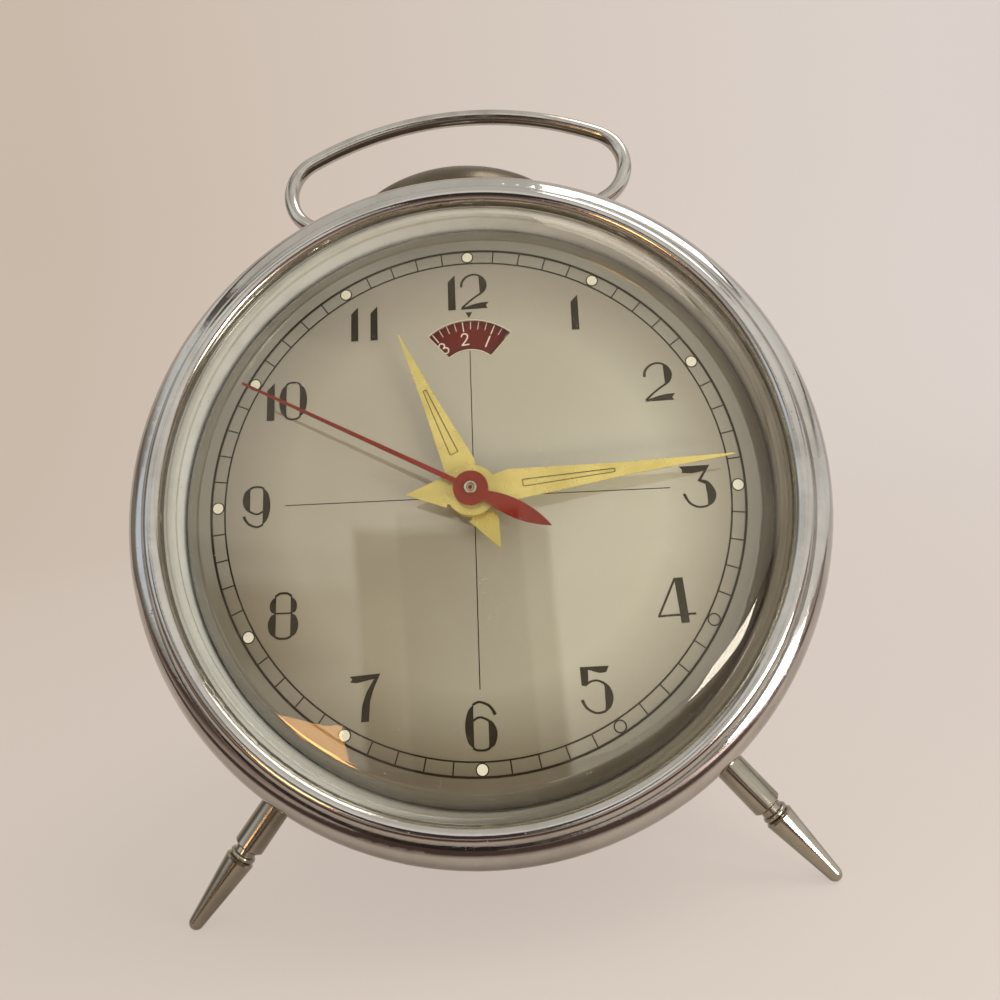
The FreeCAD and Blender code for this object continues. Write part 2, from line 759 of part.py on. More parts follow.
def make_handle():
    """Wire bent to a long loop: one wide arch, two round ends, and both tips turned down into the drum."""
    end, tuck = handle_end_centre(), handle_tuck_centre()
    r, q = handle_end_radius, handle_tuck_radius
    drop = handle_end_drop
    arch = (end[0] ** 2 + drop ** 2 - r * r) / (2 * (drop - r))
    arch_end = 90.0 - math.degrees(math.asin(end[0] / (arch - r)))
    tuck_start = handle_tuck_angle - 90.0
    tuck_end = 180.0 - handle_entry_angle()
    first = at_angle(r, arch_end, end)
    bottom = at_angle(r, tuck_start, end)
    touch = at_angle(q, tuck_end, tuck)
    inside = drum_radius - drum_wall - nut_height - nut_under_end
    tip = at_angle(inside, 90.0 - handle_entry_angle())

    def right(p):
        return V(p[0], p[1], handle_z)

    def left(p):
        return V(-p[0], p[1], handle_z)

    round_end = at_angle(r, (arch_end + tuck_start) / 2, end)
    bend = at_angle(q, (tuck_start + 180.0 + tuck_end) / 2, tuck)
    path = Part.Wire([
        Part.makeLine(left(tip), left(touch)),
        Part.Arc(left(touch), left(bend), left(bottom)).toShape(),
        Part.Arc(left(bottom), left(round_end), left(first)).toShape(),
        Part.Arc(left(first), V(0, handle_top, handle_z), right(first)).toShape(),
        Part.Arc(right(first), right(round_end), right(bottom)).toShape(),
        Part.Arc(right(bottom), right(bend), right(touch)).toShape(),
        Part.makeLine(right(touch), right(tip)),
    ])
    section = Part.Wire([Part.Circle(left(tip), left(touch) - left(tip), handle_wire / 2).toShape()])
    return path.makePipeShell([section], True, True)


def hex_nut(across, height, bore, clock_angle, start, z):
    """Hexagonal nut on a radial line, its near face start millimetres from the clock's centre."""
    corners = [at_angle(across / math.sqrt(3), 60 * i) for i in range(6)]
    nut = sheet(outline(corners, start), [circle_wire(bore, start)], height)
    a = math.radians(clock_angle)
    nut.Placement = FreeCAD.Placement(V(0, 0, z), FreeCAD.Rotation(AXIS, V(math.sin(a), math.cos(a), 0)))
    return nut


def nut_start(across):
    """Distance from the clock's centre of a nut whose corners meet the drum's wall from inside."""
    return math.sqrt((drum_radius - drum_wall) ** 2 - across ** 2 / 3) - nut_height - seat_gap


def make_handle_nuts():
    inside = nut_start(nut_across)
    wire = handle_wire / 2 + seat_gap
    solids = []
    for side in (-1, 1):
        angle = side * handle_entry_angle()
        solids.append(hex_nut(nut_across, nut_height, wire, angle, inside, handle_z))
    return solids


def make_handle_collars():
    """Small domed ferrules where the wire goes into the drum."""
    r, h = handle_collar_radius, handle_collar_height
    wire = handle_wire / 2 + seat_gap
    low = drum_radius + seat_gap
    solids = []
    for side in (-1, 1):
        points = [(wire, low), (r, low), ((r - 0.35, low + h * 0.72), (r - 1.3, low + h)), (wire, low + h)]
        solids.append(radial_turned(points, side * handle_entry_angle(), handle_z))
    return solids


def make_bell():
    """Pressed bell: a shallow dome, a round shoulder and a straight rim, with a hole at the top."""
    r, t, dome, bend = bell_radius, bell_wall, bell_dome_radius, bell_shoulder_radius
    # the dome meets the shoulder where both have the same slope
    slope = math.asin((r - bend) / (dome - bend))
    top = bell_top

    def curve(inset):
        big = dome - inset
        small = bend - inset
        px, pz = big * math.sin(slope), top - dome + big * math.cos(slope)
        cx, cz = (dome - bend) * math.sin(slope), top - dome + (dome - bend) * math.cos(slope)
        half = slope / 2
        turn = (slope + math.pi / 2) / 2
        hole = post_thread_radius + seat_gap
        start = (hole, top - dome + math.sqrt(big * big - hole * hole))
        crown = ((big * math.sin(half), top - dome + big * math.cos(half)), (px, pz))
        shoulder = ((cx + small * math.sin(turn), cz + small * math.cos(turn)), (cx + small, cz))
        return start, crown, shoulder

    outer_hole, outer_dome, outer_bend = curve(0.0)
    inner_hole, inner_dome, inner_bend = curve(t)
    rim = top - bell_height
    return radial_turned([
        outer_hole, outer_dome, outer_bend, (r, rim), (r - t, rim), inner_bend[1],
        (inner_bend[0], inner_dome[1]), (inner_dome[0], inner_hole),
    ], 0.0, bell_z)


def make_bell_post():
    """Post screwed to the drum, with a shoulder that carries the bell and a thinner threaded end."""
    foot = drum_radius - drum_wall - nut_height - nut_under_end
    shoulder = bell_top - bell_wall - 0.25
    r, thin, wide, top = post_radius, post_thread_radius, post_foot_radius, bell_top + bell_nut_height - 0.6
    return radial_turned([
        (0, foot), (r, foot), (r, drum_radius + seat_gap), (wide, drum_radius + seat_gap),
        (wide, drum_radius + 1.6), (r, drum_radius + 2.2), (r, shoulder), (thin, shoulder), (thin, top),
        (0, top),
    ], 0.0, bell_z)


def make_bell_nuts():
    """Domed nut on the bell, and the nut under the drum's wall."""
    thin, wide = post_thread_radius + seat_gap, bell_nut_radius
    low = bell_top + seat_gap
    top = low + bell_nut_height + 0.3
    cap = radial_turned([
        (thin, low), (wide, low), (wide, low + 0.8), ((wide * 0.8, top - 0.6), (wide * 0.3, top)),
        (0, top), (0, top - 0.8), (thin, top - 0.8),
    ], 0.0, bell_z)
    start = nut_start(post_nut_across)
    under = hex_nut(post_nut_across, nut_height, post_radius + seat_gap, 0.0, start, bell_z)
    return Part.makeCompound([cap, under])


def make_leg(side):
    """Turned leg: a straight shank, a neck with a small bead, and a long taper to a round tip."""
    r, tip = leg_radius, leg_tip_radius
    base = drum_radius + leg_collar_height
    bead_at = leg_neck_at + leg_neck_length
    taper_at = bead_at + leg_bead_length + 0.5
    stud_end = drum_radius - drum_wall - nut_height - nut_under_end
    q = math.sqrt(0.5)
    points = [
        (0, stud_end), (leg_stud_radius, stud_end), (leg_stud_radius, drum_radius + 0.3),
        (leg_collar_radius, drum_radius + 0.3), (leg_collar_radius, base - 0.3),
        (leg_collar_radius - 0.5, base),
        (r, base), (r, leg_neck_at - 0.3), (r - 0.3, leg_neck_at), (leg_neck_radius, leg_neck_at),
        (leg_neck_radius, bead_at), ((leg_neck_radius + 0.45, bead_at + leg_bead_length / 2),
                                     (leg_neck_radius, bead_at + leg_bead_length)),
        (r - 0.35, taper_at - 0.3), (r - 0.1, taper_at), (tip, leg_tip_at - tip),
        ((tip * q, leg_tip_at - tip + tip * q), (0, leg_tip_at)),
    ]
    return radial_turned(points, 180 - side * leg_angle, leg_z)


def make_leg_nuts():
    start = nut_start(nut_across)
    return Part.makeCompound([
        hex_nut(nut_across, nut_height, leg_stud_radius + seat_gap, 180 - side * leg_angle, start, leg_z)
        for side in (-1, 1)
    ])


# Plates and what joins them
def pivoted_arbor(at, radius=arbor_radius):
    """Arbor between the plates with a pivot in each."""
    body = rod(radius, back_in + end_shake, front_in - end_shake, at)
    return body.fuse(rod(plate_pivot_radius, back_out, front_plate_z, at))


def pivot_holes(places, radius=plate_pivot_radius + running_gap):
    return [circle_wire(radius, 0, p) for p in places]


def plate_face(holes, z):
    """Round plate with bays in its edge, its back face at z."""
    plate = sheet(circle_wire(plate_radius, 0), holes, plate_sheet)
    bays = [at_angle(plate_radius + plate_bay_out, a) for a in plate_bay_angles]
    plate = less(plate, [rod(plate_bay_radius, -plate_sheet, 2 * plate_sheet, p) for p in bays])
    plate.translate(V(0, 0, z))
    return plate


def make_front_plate():
    holes = pivot_holes(train_pivots)
    holes += pivot_holes([centre_at], centre_pipe_radius + running_gap)
    holes += pivot_holes([time_at, alarm_great_at], winding_pivot_radius + running_gap)
    holes += pivot_holes([alarm_at], arbor_radius + running_gap)
    holes += pivot_holes([set_at], small_bush_radius + running_gap)
    holes += pivot_holes([balance_at], balance_screw_radius + seat_gap)
    holes += pivot_holes(pillar_places, pillar_neck_radius + seat_gap)
    holes += pivot_holes(dial_feet_places + bridge_feet, tenon_radius + seat_gap)
    return plate_face(holes, front_in).fuse(make_minute_stud())


def make_back_plate():
    holes = pivot_holes(train_pivots + [centre_at])
    holes += pivot_holes([time_at, alarm_great_at], winding_arbor_radius + running_gap)
    holes += pivot_holes([alarm_at], arbor_radius + running_gap)
    holes += pivot_holes([set_at], small_bush_radius + running_gap)
    holes += pivot_holes([balance_at], balance_screw_radius + seat_gap)
    holes += pivot_holes([stop_at], stop_rod_radius + running_gap)
    holes += pivot_holes(pillar_places, pillar_neck_radius + seat_gap)
    holes += pivot_holes(post_places, tenon_radius + seat_gap)
    posts = [make_spring_post(at) for at in (time_at, alarm_great_at)]
    return joined([plate_face(holes, back_out), make_hairspring_stud()] + posts)


def make_pillars():
    solids = []
    for p in pillar_places:
        body = rod(pillar_radius, back_in, front_in, p)
        neck = rod(pillar_neck_radius, back_out - pillar_nut_height - free_gap,
                   front_plate_z + pillar_nut_height + free_gap, p)
        solids.append(body.fuse(neck))
    return Part.makeCompound(solids)


def flat_nut(across, height, bore, at, z):
    corners = [at_angle(across / math.sqrt(3), 60 * i + 15, at) for i in range(6)]
    return sheet(outline(corners, z), [circle_wire(bore, z, at)], height)


def make_pillar_nuts():
    bore = pillar_neck_radius + seat_gap
    levels = (back_out - pillar_nut_height - seat_gap, front_plate_z + seat_gap)
    return Part.makeCompound([flat_nut(pillar_nut_across, pillar_nut_height, bore, p, z)
                              for z in levels for p in pillar_places])


def make_posts():
    """Posts that carry the movement on the back cover."""
    solids = []
    for p in post_places:
        post = rod(cover_post_radius, dish_in_z, back_out - seat_gap, p)
        tenon = rod(tenon_radius, back_out - seat_gap, back_in, p)
        bore = rod(cover_screw_radius + seat_gap, dish_in_z, dish_in_z + post_bore_depth, p)
        solids.append(post.fuse(tenon).cut(bore))
    return Part.makeCompound(solids)


def make_dial_feet():
    """Feet on the back of the dial, with thin ends that sit in the front plate."""
    return [rod(dial_foot_radius, front_plate_z + seat_gap, -dial_sheet, p).fuse(
        rod(tenon_radius, front_in, front_plate_z + plate_sheet, p)) for p in dial_feet_places]


def strap(p, q, half, z, thickness):
    """Flat bar with round ends."""
    length = distance(p, q)
    way = ((q[0] - p[0]) / length, (q[1] - p[1]) / length)
    side = (-way[1] * half, way[0] * half)
    points = [(p[0] + side[0], p[1] + side[1]), (p[0] - side[0], p[1] - side[1]),
              (q[0] - side[0], q[1] - side[1]), (q[0] + side[0], q[1] + side[1])]
    bar = sheet(outline(points, z), [], thickness)
    return joined([bar, rod(half, z, z + thickness, p), rod(half, z, z + thickness, q)])


def make_centre_bridge():
    """Cock behind the centre wheel, on two feet from the front plate."""
    bars = [strap(centre_at, foot, bridge_half_width, bridge_z, bridge_sheet) for foot in bridge_feet]
    feet = [rod(bridge_foot_radius, bridge_z + bridge_sheet, front_in, foot) for foot in bridge_feet]
    pins = [rod(tenon_radius, front_in, front_plate_z, foot) for foot in bridge_feet]
    hole = rod(centre_pipe_radius + running_gap, bridge_z - bridge_sheet, bridge_z + 2 * bridge_sheet)
    return joined(bars + feet + pins).cut(hole)


# Going train
centre_turn = 0.0
third_pinion_turn = mesh_turn(centre_teeth, centre_turn, third_leaves, centre_at, third_at)
third_wheel_turn = third_pinion_turn
fourth_pinion_turn = mesh_turn(third_teeth, third_wheel_turn, fourth_leaves, third_at, centre_at)
fourth_wheel_turn = 0.0
escape_pinion_turn = mesh_turn(fourth_teeth, fourth_wheel_turn, escape_leaves, centre_at, escape_at)
great_turn = mesh_turn(centre_leaves, centre_turn, great_teeth, centre_at, time_at)
minute_turn = mesh_turn(cannon_leaves, 0.0, minute_teeth, centre_at, minute_at)
minute_leaf_turn = 0.0
hour_turn = mesh_turn(minute_leaves, minute_leaf_turn, hour_teeth, minute_at, centre_at)
alarm_turn = mesh_turn(hour_teeth, hour_turn, alarm_teeth, centre_at, alarm_at)
set_turn = mesh_turn(minute_teeth, minute_turn, set_leaves, minute_at, set_at)
star_pinion_turn = mesh_turn(alarm_great_teeth, 0.0, star_leaves, alarm_great_at, star_at)


def make_centre_wheel():
    wheel = toothed_wheel(centre_teeth, centre_module, centre_wheel_z, wheel_sheet, centre_at, centre_turn,
                          centre_pipe_radius, hub=wide_hub)
    pinion = leaf_pinion(centre_leaves, great_module, great_wheel_z - 0.8, centre_wheel_z, centre_at,
                         centre_turn)
    tube = rod(centre_pipe_radius, bridge_z, minute_hand_z - 0.5)
    bore = rod(second_arbor_radius + running_gap, bridge_z - 1, minute_hand_z)
    return joined([wheel, pinion, tube]).cut(bore)


def make_third_wheel():
    wheel = toothed_wheel(third_teeth, third_module, third_wheel_z, wheel_sheet, third_at, third_wheel_turn,
                          train_arbor_radius)
    pinion = lantern_pinion(third_leaves, centre_module, centre_wheel_z - 1.4, centre_wheel_z + 1.9, third_at,
                            third_pinion_turn, train_arbor_radius)
    return joined([wheel, pinion, pivoted_arbor(third_at, train_arbor_radius)])


def make_fourth_wheel():
    wheel = toothed_wheel(fourth_teeth, fourth_module, fourth_wheel_z, wheel_sheet, centre_at,
                          fourth_wheel_turn, arbor_radius)
    pinion = lantern_pinion(fourth_leaves, third_module, third_wheel_z - 1.1, third_wheel_z + 1.7, centre_at,
                            fourth_pinion_turn, arbor_radius)
    thick = rod(arbor_radius, back_in + end_shake, third_wheel_z + 1.7)
    thin = rod(second_arbor_radius, third_wheel_z + 1.7, second_hand_z + 0.9)
    pivot = rod(plate_pivot_radius, back_out, back_in + end_shake)
    return joined([wheel, pinion, thick, thin, pivot])


def escape_outline(z):
    points = []
    for i in range(escape_teeth):
        middle = 360.0 * i / escape_teeth + escape_turn()
        root = escape_radius - escape_tooth_depth
        for radius, angle in ((root, -5.5), (escape_radius, -1.2), (escape_radius, 1.2), (root, 4.0)):
            points.append(at_angle(radius, middle + angle))
    return outline(points, z)


def escape_turn():
    """The tips of the escape wheel stand a quarter of a tooth to either side of the lever's pins."""
    return lever_direction + lever_pin_angle + 360.0 / escape_teeth / 4


def make_escape_wheel():
    rim = escape_radius - escape_tooth_depth - escape_rim
    holes = [circle_wire(train_arbor_radius, escape_wheel_z)]
    for quarter in (0.0, 90.0, 180.0, 270.0):
        start, end = quarter + escape_arm_half_angle, quarter + 90.0 - escape_arm_half_angle
        holes.append(sector_wire(wheel_hub, rim, start, end, escape_wheel_z))
    wheel = sheet(escape_outline(escape_wheel_z), holes, wheel_sheet)
    wheel.translate(V(escape_at[0], escape_at[1], 0))
    pinion = lantern_pinion(escape_leaves, fourth_module, fourth_wheel_z - 1.1, fourth_wheel_z + 2.0,
                            escape_at, escape_pinion_turn, train_arbor_radius)
    return joined([wheel, pinion, pivoted_arbor(escape_at, train_arbor_radius)])


def make_lever():
    """Lever with two steel pins for the escape wheel and a fork for the balance's impulse pin."""
    circle = escape_radius + lever_pin_radius + lever_pin_gap
    pins = [at_angle(circle, lever_direction + s * lever_pin_angle, escape_at) for s in (-1, 1)]
    body = [strap(lever_at, p, 0.9, lever_z, lever_sheet) for p in pins]
    fork_length = balance_distance - 2.9
    arm = strap(lever_at, at_angle(fork_length - 1.6, balance_direction, lever_at), 0.7, lever_z, lever_sheet)
    block = Part.makeBox(2.2, 1.7, lever_sheet, V(fork_length - 2.2, -0.85, lever_z))
    block = block.cut(Part.makeBox(1.6, 0.8, 2 * lever_sheet, V(fork_length - 1.5, -0.4, lever_z - 0.4)))
    block.rotate(ORIGIN, AXIS, balance_direction)
    block.translate(V(lever_at[0], lever_at[1], 0))
    steel = [rod(lever_pin_radius, escape_wheel_z - 0.3, lever_z + lever_sheet, p) for p in pins]
    return joined(body + [arm, block] + steel + [pivoted_arbor(lever_at)])


def make_balance_wheel():
    """Balance at rest, its impulse pin on the far side from the lever's fork."""
    rim = pipe(balance_radius, balance_radius - balance_rim, balance_z, balance_z + balance_sheet)
    hub = rod(balance_hub, balance_z, balance_z + balance_sheet)
    arms = []
    for i in range(3):
        arm = Part.makeBox(balance_radius - balance_rim / 2 - 1.0, balance_arm_width, balance_sheet * 0.7,
                           V(1.0, -balance_arm_width / 2, balance_z + balance_sheet * 0.15))
        arms.append(spun(arm, 120.0 * i))
    pin = rod(impulse_pin_radius, lever_z - 0.3, balance_z + balance_sheet * 0.4, (impulse_circle, 0.0))
    bore = rod(balance_staff_radius + seat_gap, balance_z - balance_sheet, balance_z + 2 * balance_sheet)
    wheel = joined([rim, hub, pin] + arms).cut(bore)
    wheel.rotate(ORIGIN, AXIS, balance_direction)
    wheel.translate(V(balance_at[0], balance_at[1], 0))
    return wheel


def make_balance_staff():
    """Staff with a pivot at each end that runs in the cups of the balance screws."""
    low, high = back_in + screw_reach, front_in - screw_reach
    thick, thin, deep = balance_staff_radius, balance_pivot_radius, cup_depth - end_shake
    body = turned([
        (0, low - deep), (thin, low - deep), (thin, low + 0.4), (thick, low + 0.9),
        (thick, high - 0.9), (thin, high - 0.4), (thin, high + deep), (0, high + deep),
    ], balance_at)
    collet = rod(hairspring_inner - 0.15, hairspring_z - 0.3, hairspring_z + 1.1, balance_at)
    return body.fuse(collet)


def make_balance_screws():
    """Hardened cup screws that the balance turns in, one in each plate."""
    r, flange, head = balance_screw_radius, balance_screw_radius + balance_screw_flange, balance_screw_head
    cup = balance_pivot_radius + running_gap
    screws = []
    for way, outside, inside in ((-1, back_out, back_in), (1, front_plate_z, front_in)):
        tip = inside - way * screw_reach
        screws.append(turned([
            (0, outside + way * head), (flange, outside + way * head), (flange, outside + way * seat_gap),
            (r, outside + way * seat_gap), (r, tip), (cup, tip), (cup, tip + way * cup_depth),
            (0, tip + way * cup_depth),
        ], balance_at))
    return Part.makeCompound(screws)


def spiral_strip(inner, outer, turns, wall, z, height, at, start_angle):
    """Flat spring wound in a spiral of half circles, each with its centre a step from the last."""
    steps = int(2 * turns)
    growth = (outer - inner) / steps
    radius = inner + growth / 2
    centre = 0.0
    way = 1
    edges = []
    first = [V(radius - wall / 2, 0, z), V(radius + wall / 2, 0, z)]
    for i in range(steps):
        for r in (radius - wall / 2, radius + wall / 2):
            arc = Part.Arc(V(centre + way * r, 0, z), V(centre, way * r, z), V(centre - way * r, 0, z))
            edges.append(arc.toShape())
        last = [V(centre - way * (radius - wall / 2), 0, z), V(centre - way * (radius + wall / 2), 0, z)]
        centre = centre + way * growth
        radius += growth
        way = -way
    edges += [Part.makeLine(*first), Part.makeLine(*last)]
    strip = Part.Face(Part.Wire(Part.__sortEdges__(edges))).extrude(V(0, 0, height))
    strip.rotate(ORIGIN, AXIS, start_angle)
    strip.translate(V(at[0], at[1], 0))
    return strip


def make_hairspring():
    return spiral_strip(hairspring_inner, hairspring_outer, hairspring_turns, hairspring_strip, hairspring_z,
                        hairspring_height, balance_at, hairspring_end_angle)


def hairspring_stud_at():
    growth = (hairspring_outer - hairspring_inner) / hairspring_turns / 2
    return at_angle(hairspring_outer + growth / 2 + 0.1, hairspring_end_angle, balance_at)


def make_hairspring_stud():
    """Small post on the back plate that holds the outer end of the hairspring."""
    at = hairspring_stud_at()
    post = rod(hairspring_stud_radius, back_in, hairspring_z + 1.0, at)
    slit = Part.makeBox(3.0, 0.5, 1.4, V(-1.5, -0.15, hairspring_z - 0.1))
    slit.rotate(ORIGIN, AXIS, hairspring_end_angle + 90)
    slit.translate(V(at[0], at[1], 0))
    return post.cut(slit)


def make_mainspring(at):
    inner, low = winding_arbor_radius + mainspring_gap, mainspring_top - mainspring_height
    return spiral_strip(inner, mainspring_outer, mainspring_turns, mainspring_strip, low, mainspring_height,
                        at, mainspring_end_angle)


def make_spring_post(at):
    """Post riveted in the back plate that the outer end of a mainspring hooks on."""
    growth = (mainspring_outer - winding_arbor_radius - mainspring_gap) / mainspring_turns / 2
    reach = mainspring_outer + growth / 2 + mainspring_strip / 2 + spring_post_radius + seat_gap
    return rod(spring_post_radius, back_in, mainspring_top + 0.3, at_angle(reach, mainspring_end_angle, at))


def make_regulator():
    """Lever round the balance's back screw, with a tab that reaches out through the cover."""
    z = back_out - 1.1
    hold = balance_screw_radius + balance_screw_flange + slide_gap
    ring = pipe(hold + 1.6, hold, z, back_out - 0.3, balance_at)
    far = at_angle(regulator_reach, regulator_middle, balance_at)
    arm = strap(at_angle(hold + 1.0, regulator_middle, balance_at), far, 0.8, z, 0.8)
    tab = rod(0.8, dish_out_z - 1.2, z, far)
    return joined([ring, arm, tab])


# Winding work, the same for the time and the alarm side
def ratchet_points(radius, depth, turn):
    points = []
    for i in range(ratchet_teeth):
        start = 360.0 * i / ratchet_teeth + turn
        points.append(at_angle(radius, start))
        points.append(at_angle(radius - depth, start + 2.0))
        points.append(at_angle(radius - depth, start + 5.0))
    return points


def make_great_wheel(teeth, module, turn, at, click_angle):
    wheel = toothed_wheel(teeth, module, great_wheel_z, great_sheet, at, turn,
                          winding_arbor_radius + running_gap, hub=wide_hub, arms=5, arm_half=9.0)
    place = at_angle(click_circle, click_angle, at)
    land = rod(2.6, great_wheel_z, great_wheel_z + great_sheet, place)
    pin = rod(click_pin_radius, great_wheel_z, ratchet_z + click_sheet + 0.1, place)
    return joined([wheel, land, pin])


def make_ratchet(at, turn):
    """Ratchet on its winding arbor, which runs out through the back of the case."""
    top = ratchet_z + click_sheet
    ratchet = sheet(outline(ratchet_points(ratchet_radius, ratchet_depth, turn), ratchet_z), [], click_sheet)
    ratchet.translate(V(at[0], at[1], 0))
    arbor = rod(winding_arbor_radius, key_z - key_hub_length / 2 + 1.0, top, at)
    pivot = rod(winding_pivot_radius, top, front_plate_z, at)
    hook = rod(0.5, winding_arbor_radius - 0.4, winding_arbor_radius + 0.35)
    hook.Placement = FreeCAD.Placement(V(at[0], at[1], mainspring_top - mainspring_height / 2),
                                       FreeCAD.Rotation(AXIS, V(1, 0, 0)))
    return joined([ratchet, arbor, pivot, hook])


def click_outline(z):
    """Click drawn with its pivot at the origin and the ratchet's centre along -x."""
    def near(radius, degrees):
        x, y = at_angle(radius, degrees)
        return (x - click_circle, y)

    nose = near(ratchet_radius - ratchet_depth + 0.15, click_arm_angle)
    heel = near(ratchet_radius + 0.35, click_arm_angle - 5.0)
    crown = near(ratchet_radius + 1.4, click_arm_angle - 1.0)
    brow = near(ratchet_radius + 0.3, click_arm_angle + 1.0)
    body = Part.Face(outline([nose, heel, (-1.2, 0.6), (1.0, 1.2), crown, brow], z))
    body = body.extrude(V(0, 0, click_sheet)).fuse(rod(click_eye_radius, z, z + click_sheet))
    return body.cut(rod(click_pin_radius + running_gap, z - click_sheet, z + 2 * click_sheet))


def make_click(at, click_angle):
    click = click_outline(ratchet_z)
    click.rotate(ORIGIN, AXIS, click_angle)
    x, y = at_angle(click_circle, click_angle, at)
    click.translate(V(x, y, 0))
    return click


def make_key(at, turn):
    """Winding key: a hub on the arbor and two round wings, each with a hole."""
    low, high = key_z - key_hub_length / 2, key_z + key_hub_length / 2
    hub = rod(key_hub_radius, low, high)
    bore = rod(winding_arbor_radius, low + 1.0, high + 1.0)
    clear = rod(key_width, high - 1.0, high + key_height)
    wings = []
    for side in (-1, 1):
        middle = V(side * (key_width - key_height) / 2, -key_thickness / 2, key_z - 1.0)
        hole = middle + V(side * key_hole_shift, -key_thickness / 2, 0)
        wing = Part.makeCylinder(key_height / 2, key_thickness, middle, V(0, 1, 0))
        eye = Part.makeCylinder(key_hole_radius, key_thickness * 2, hole, V(0, 1, 0))
        wings.append(wing.cut(eye).cut(clear))
    key = joined([hub] + wings).cut(bore)
    key.rotate(ORIGIN, AXIS, turn)
    key.translate(V(at[0], at[1], 0))
    return key


# Motion work and hands
def make_cannon_pinion():
    pinion = leaf_pinion(cannon_leaves, cannon_module, cannon_z, cannon_z + 2.0, centre_at, 0.0)
    tube = rod(cannon_pipe_radius, cannon_z, minute_hand_z - seat_gap)
    tip = rod(cannon_pipe_radius - pipe_step, cannon_z, minute_hand_z + hand_sheet)
    bore = rod(centre_pipe_radius + running_gap, cannon_z - 1, minute_hand_z + 2)
    return joined([pinion, tube, tip]).cut(bore)


def make_minute_wheel():
    wheel = toothed_wheel(minute_teeth, cannon_module, minute_wheel_z, motion_sheet, minute_at, minute_turn,
                          small_bush_radius + slide_gap, hub=3.2)
    pinion = leaf_pinion(minute_leaves, hour_module, minute_wheel_z + motion_sheet, hour_wheel_z + 1.6,
                         minute_at, minute_leaf_turn, small_bush_radius + slide_gap)
    return wheel.fuse(pinion)


def make_minute_stud():
    """Screwed stud on the front plate that the minute wheel runs on."""
    r = arbor_radius * 0.8
    top = hour_wheel_z + 1.9
    return joined([rod(r, front_in, top, minute_at), rod(1.3, top, top + 0.5, minute_at),
                   rod(1.8, front_plate_z, front_plate_z + 0.3, minute_at)])


def make_minute_bush():
    r = arbor_radius * 0.8
    return pipe(small_bush_radius, r + slide_gap, front_plate_z + 0.45, hour_wheel_z + 1.75, minute_at)


def make_hour_wheel():
    wheel = toothed_wheel(hour_teeth, hour_module, hour_wheel_z, motion_sheet, centre_at, hour_turn,
                          hour_bush_radius + slide_gap, hub=wide_hub)
    tube = rod(hour_pipe_radius, hour_wheel_z, hour_hand_z - seat_gap)
    tip = rod(hour_pipe_radius - pipe_step, hour_wheel_z, hour_hand_z + hand_sheet)
    bore = rod(hour_bush_radius + slide_gap, hour_wheel_z - 1, hour_hand_z + 2)
    return joined([wheel, tube, tip]).cut(bore)


def make_hour_sleeve():
    return pipe(hour_bush_radius, cannon_pipe_radius + slide_gap, hour_wheel_z, hour_hand_z + 0.2)


def make_alarm_wheel():
    return toothed_wheel(alarm_teeth, hour_module, hour_wheel_z, motion_sheet, alarm_at, alarm_turn,
                         small_bush_radius + slide_gap, hub=wide_hub)


def make_alarm_sleeve():
    return pipe(small_bush_radius, arbor_radius + slide_gap, hour_wheel_z - 0.4, hour_wheel_z + 1.4, alarm_at)


def make_alarm_arbor():
    """Long arbor from the alarm disc to the knob behind, with a collar at the back plate."""
    low = set_knob_z - set_knob_thickness / 2 + 1.0
    arbor = rod(arbor_radius, low, disc_back_z, alarm_at)
    collar = rod(1.8, back_in + end_shake, back_in + 1.6, alarm_at)
    return arbor.fuse(collar)


def make_alarm_disc():
    disc = rod(alarm_disc_radius, disc_back_z, disc_back_z + alarm_disc_sheet, alarm_at)
    boss = rod(2.4, disc_back_z - 1.0, disc_back_z, alarm_at)
    return disc.fuse(boss).cut(rod(arbor_radius, disc_back_z - 2, disc_back_z, alarm_at))


def make_release_spring():
    """Leaf on the front plate that presses the alarm wheel forward."""
    z = front_plate_z
    foot = at_angle(10.0, 140.0, alarm_at)
    leaf = strap(foot, at_angle(3.2, 140.0, alarm_at), 1.6, z + 1.2, 0.3)
    fork = pipe(3.4, 2.0, z + 1.2, z + 1.5, alarm_at)
    leaf = leaf.cut(rod(2.0, z, z + 3, alarm_at))
    block = rod(1.6, z, z + 1.2, foot)
    return joined([leaf, fork, block, rod(1.5, z + 1.5, z + 2.1, foot)])


def fluted_knob(at, z, thickness, turn):
    """Round knob with a fluted edge and a blind hole for its arbor."""
    r, bevel, top = set_knob_radius, knob_bevel, z + thickness
    body = turned([(0, z), (r - bevel, z), (r, z + bevel), (r, top - bevel), (r - bevel, top), (0, top)])
    flutes = [rod(knob_flute_radius, z - 1, top + 1, at_angle(r + knob_flute_radius / 2, a + turn))
              for a in [360.0 * i / knob_flutes for i in range(knob_flutes)]]
    body = less(body, flutes).cut(rod(arbor_radius, z + 1.0, top + 1))
    body.translate(V(at[0], at[1], 0))
    return body


def make_alarm_knob():
    return fluted_knob(alarm_at, set_knob_z - set_knob_thickness / 2, set_knob_thickness - 1.2, 5.0)


def make_set_knob():
    """Hand-setting knob with its arbor and the pinion that turns the minute wheel."""
    knob = fluted_knob(set_at, set_knob_z - set_knob_thickness / 2, set_knob_thickness - 1.2, 12.0)
    arbor = rod(arbor_radius, set_knob_z - set_knob_thickness / 2 + 1.0, minute_wheel_z + motion_sheet + 0.6,
                set_at)
    pinion = leaf_pinion(set_leaves, cannon_module, minute_wheel_z - 0.3, minute_wheel_z + motion_sheet + 0.3,
                         set_at, set_turn)
    return joined([knob, arbor, pinion])


def make_set_sleeve():
    return pipe(small_bush_radius, arbor_radius + slide_gap, back_out - 0.8, front_plate_z + 0.6, set_at)


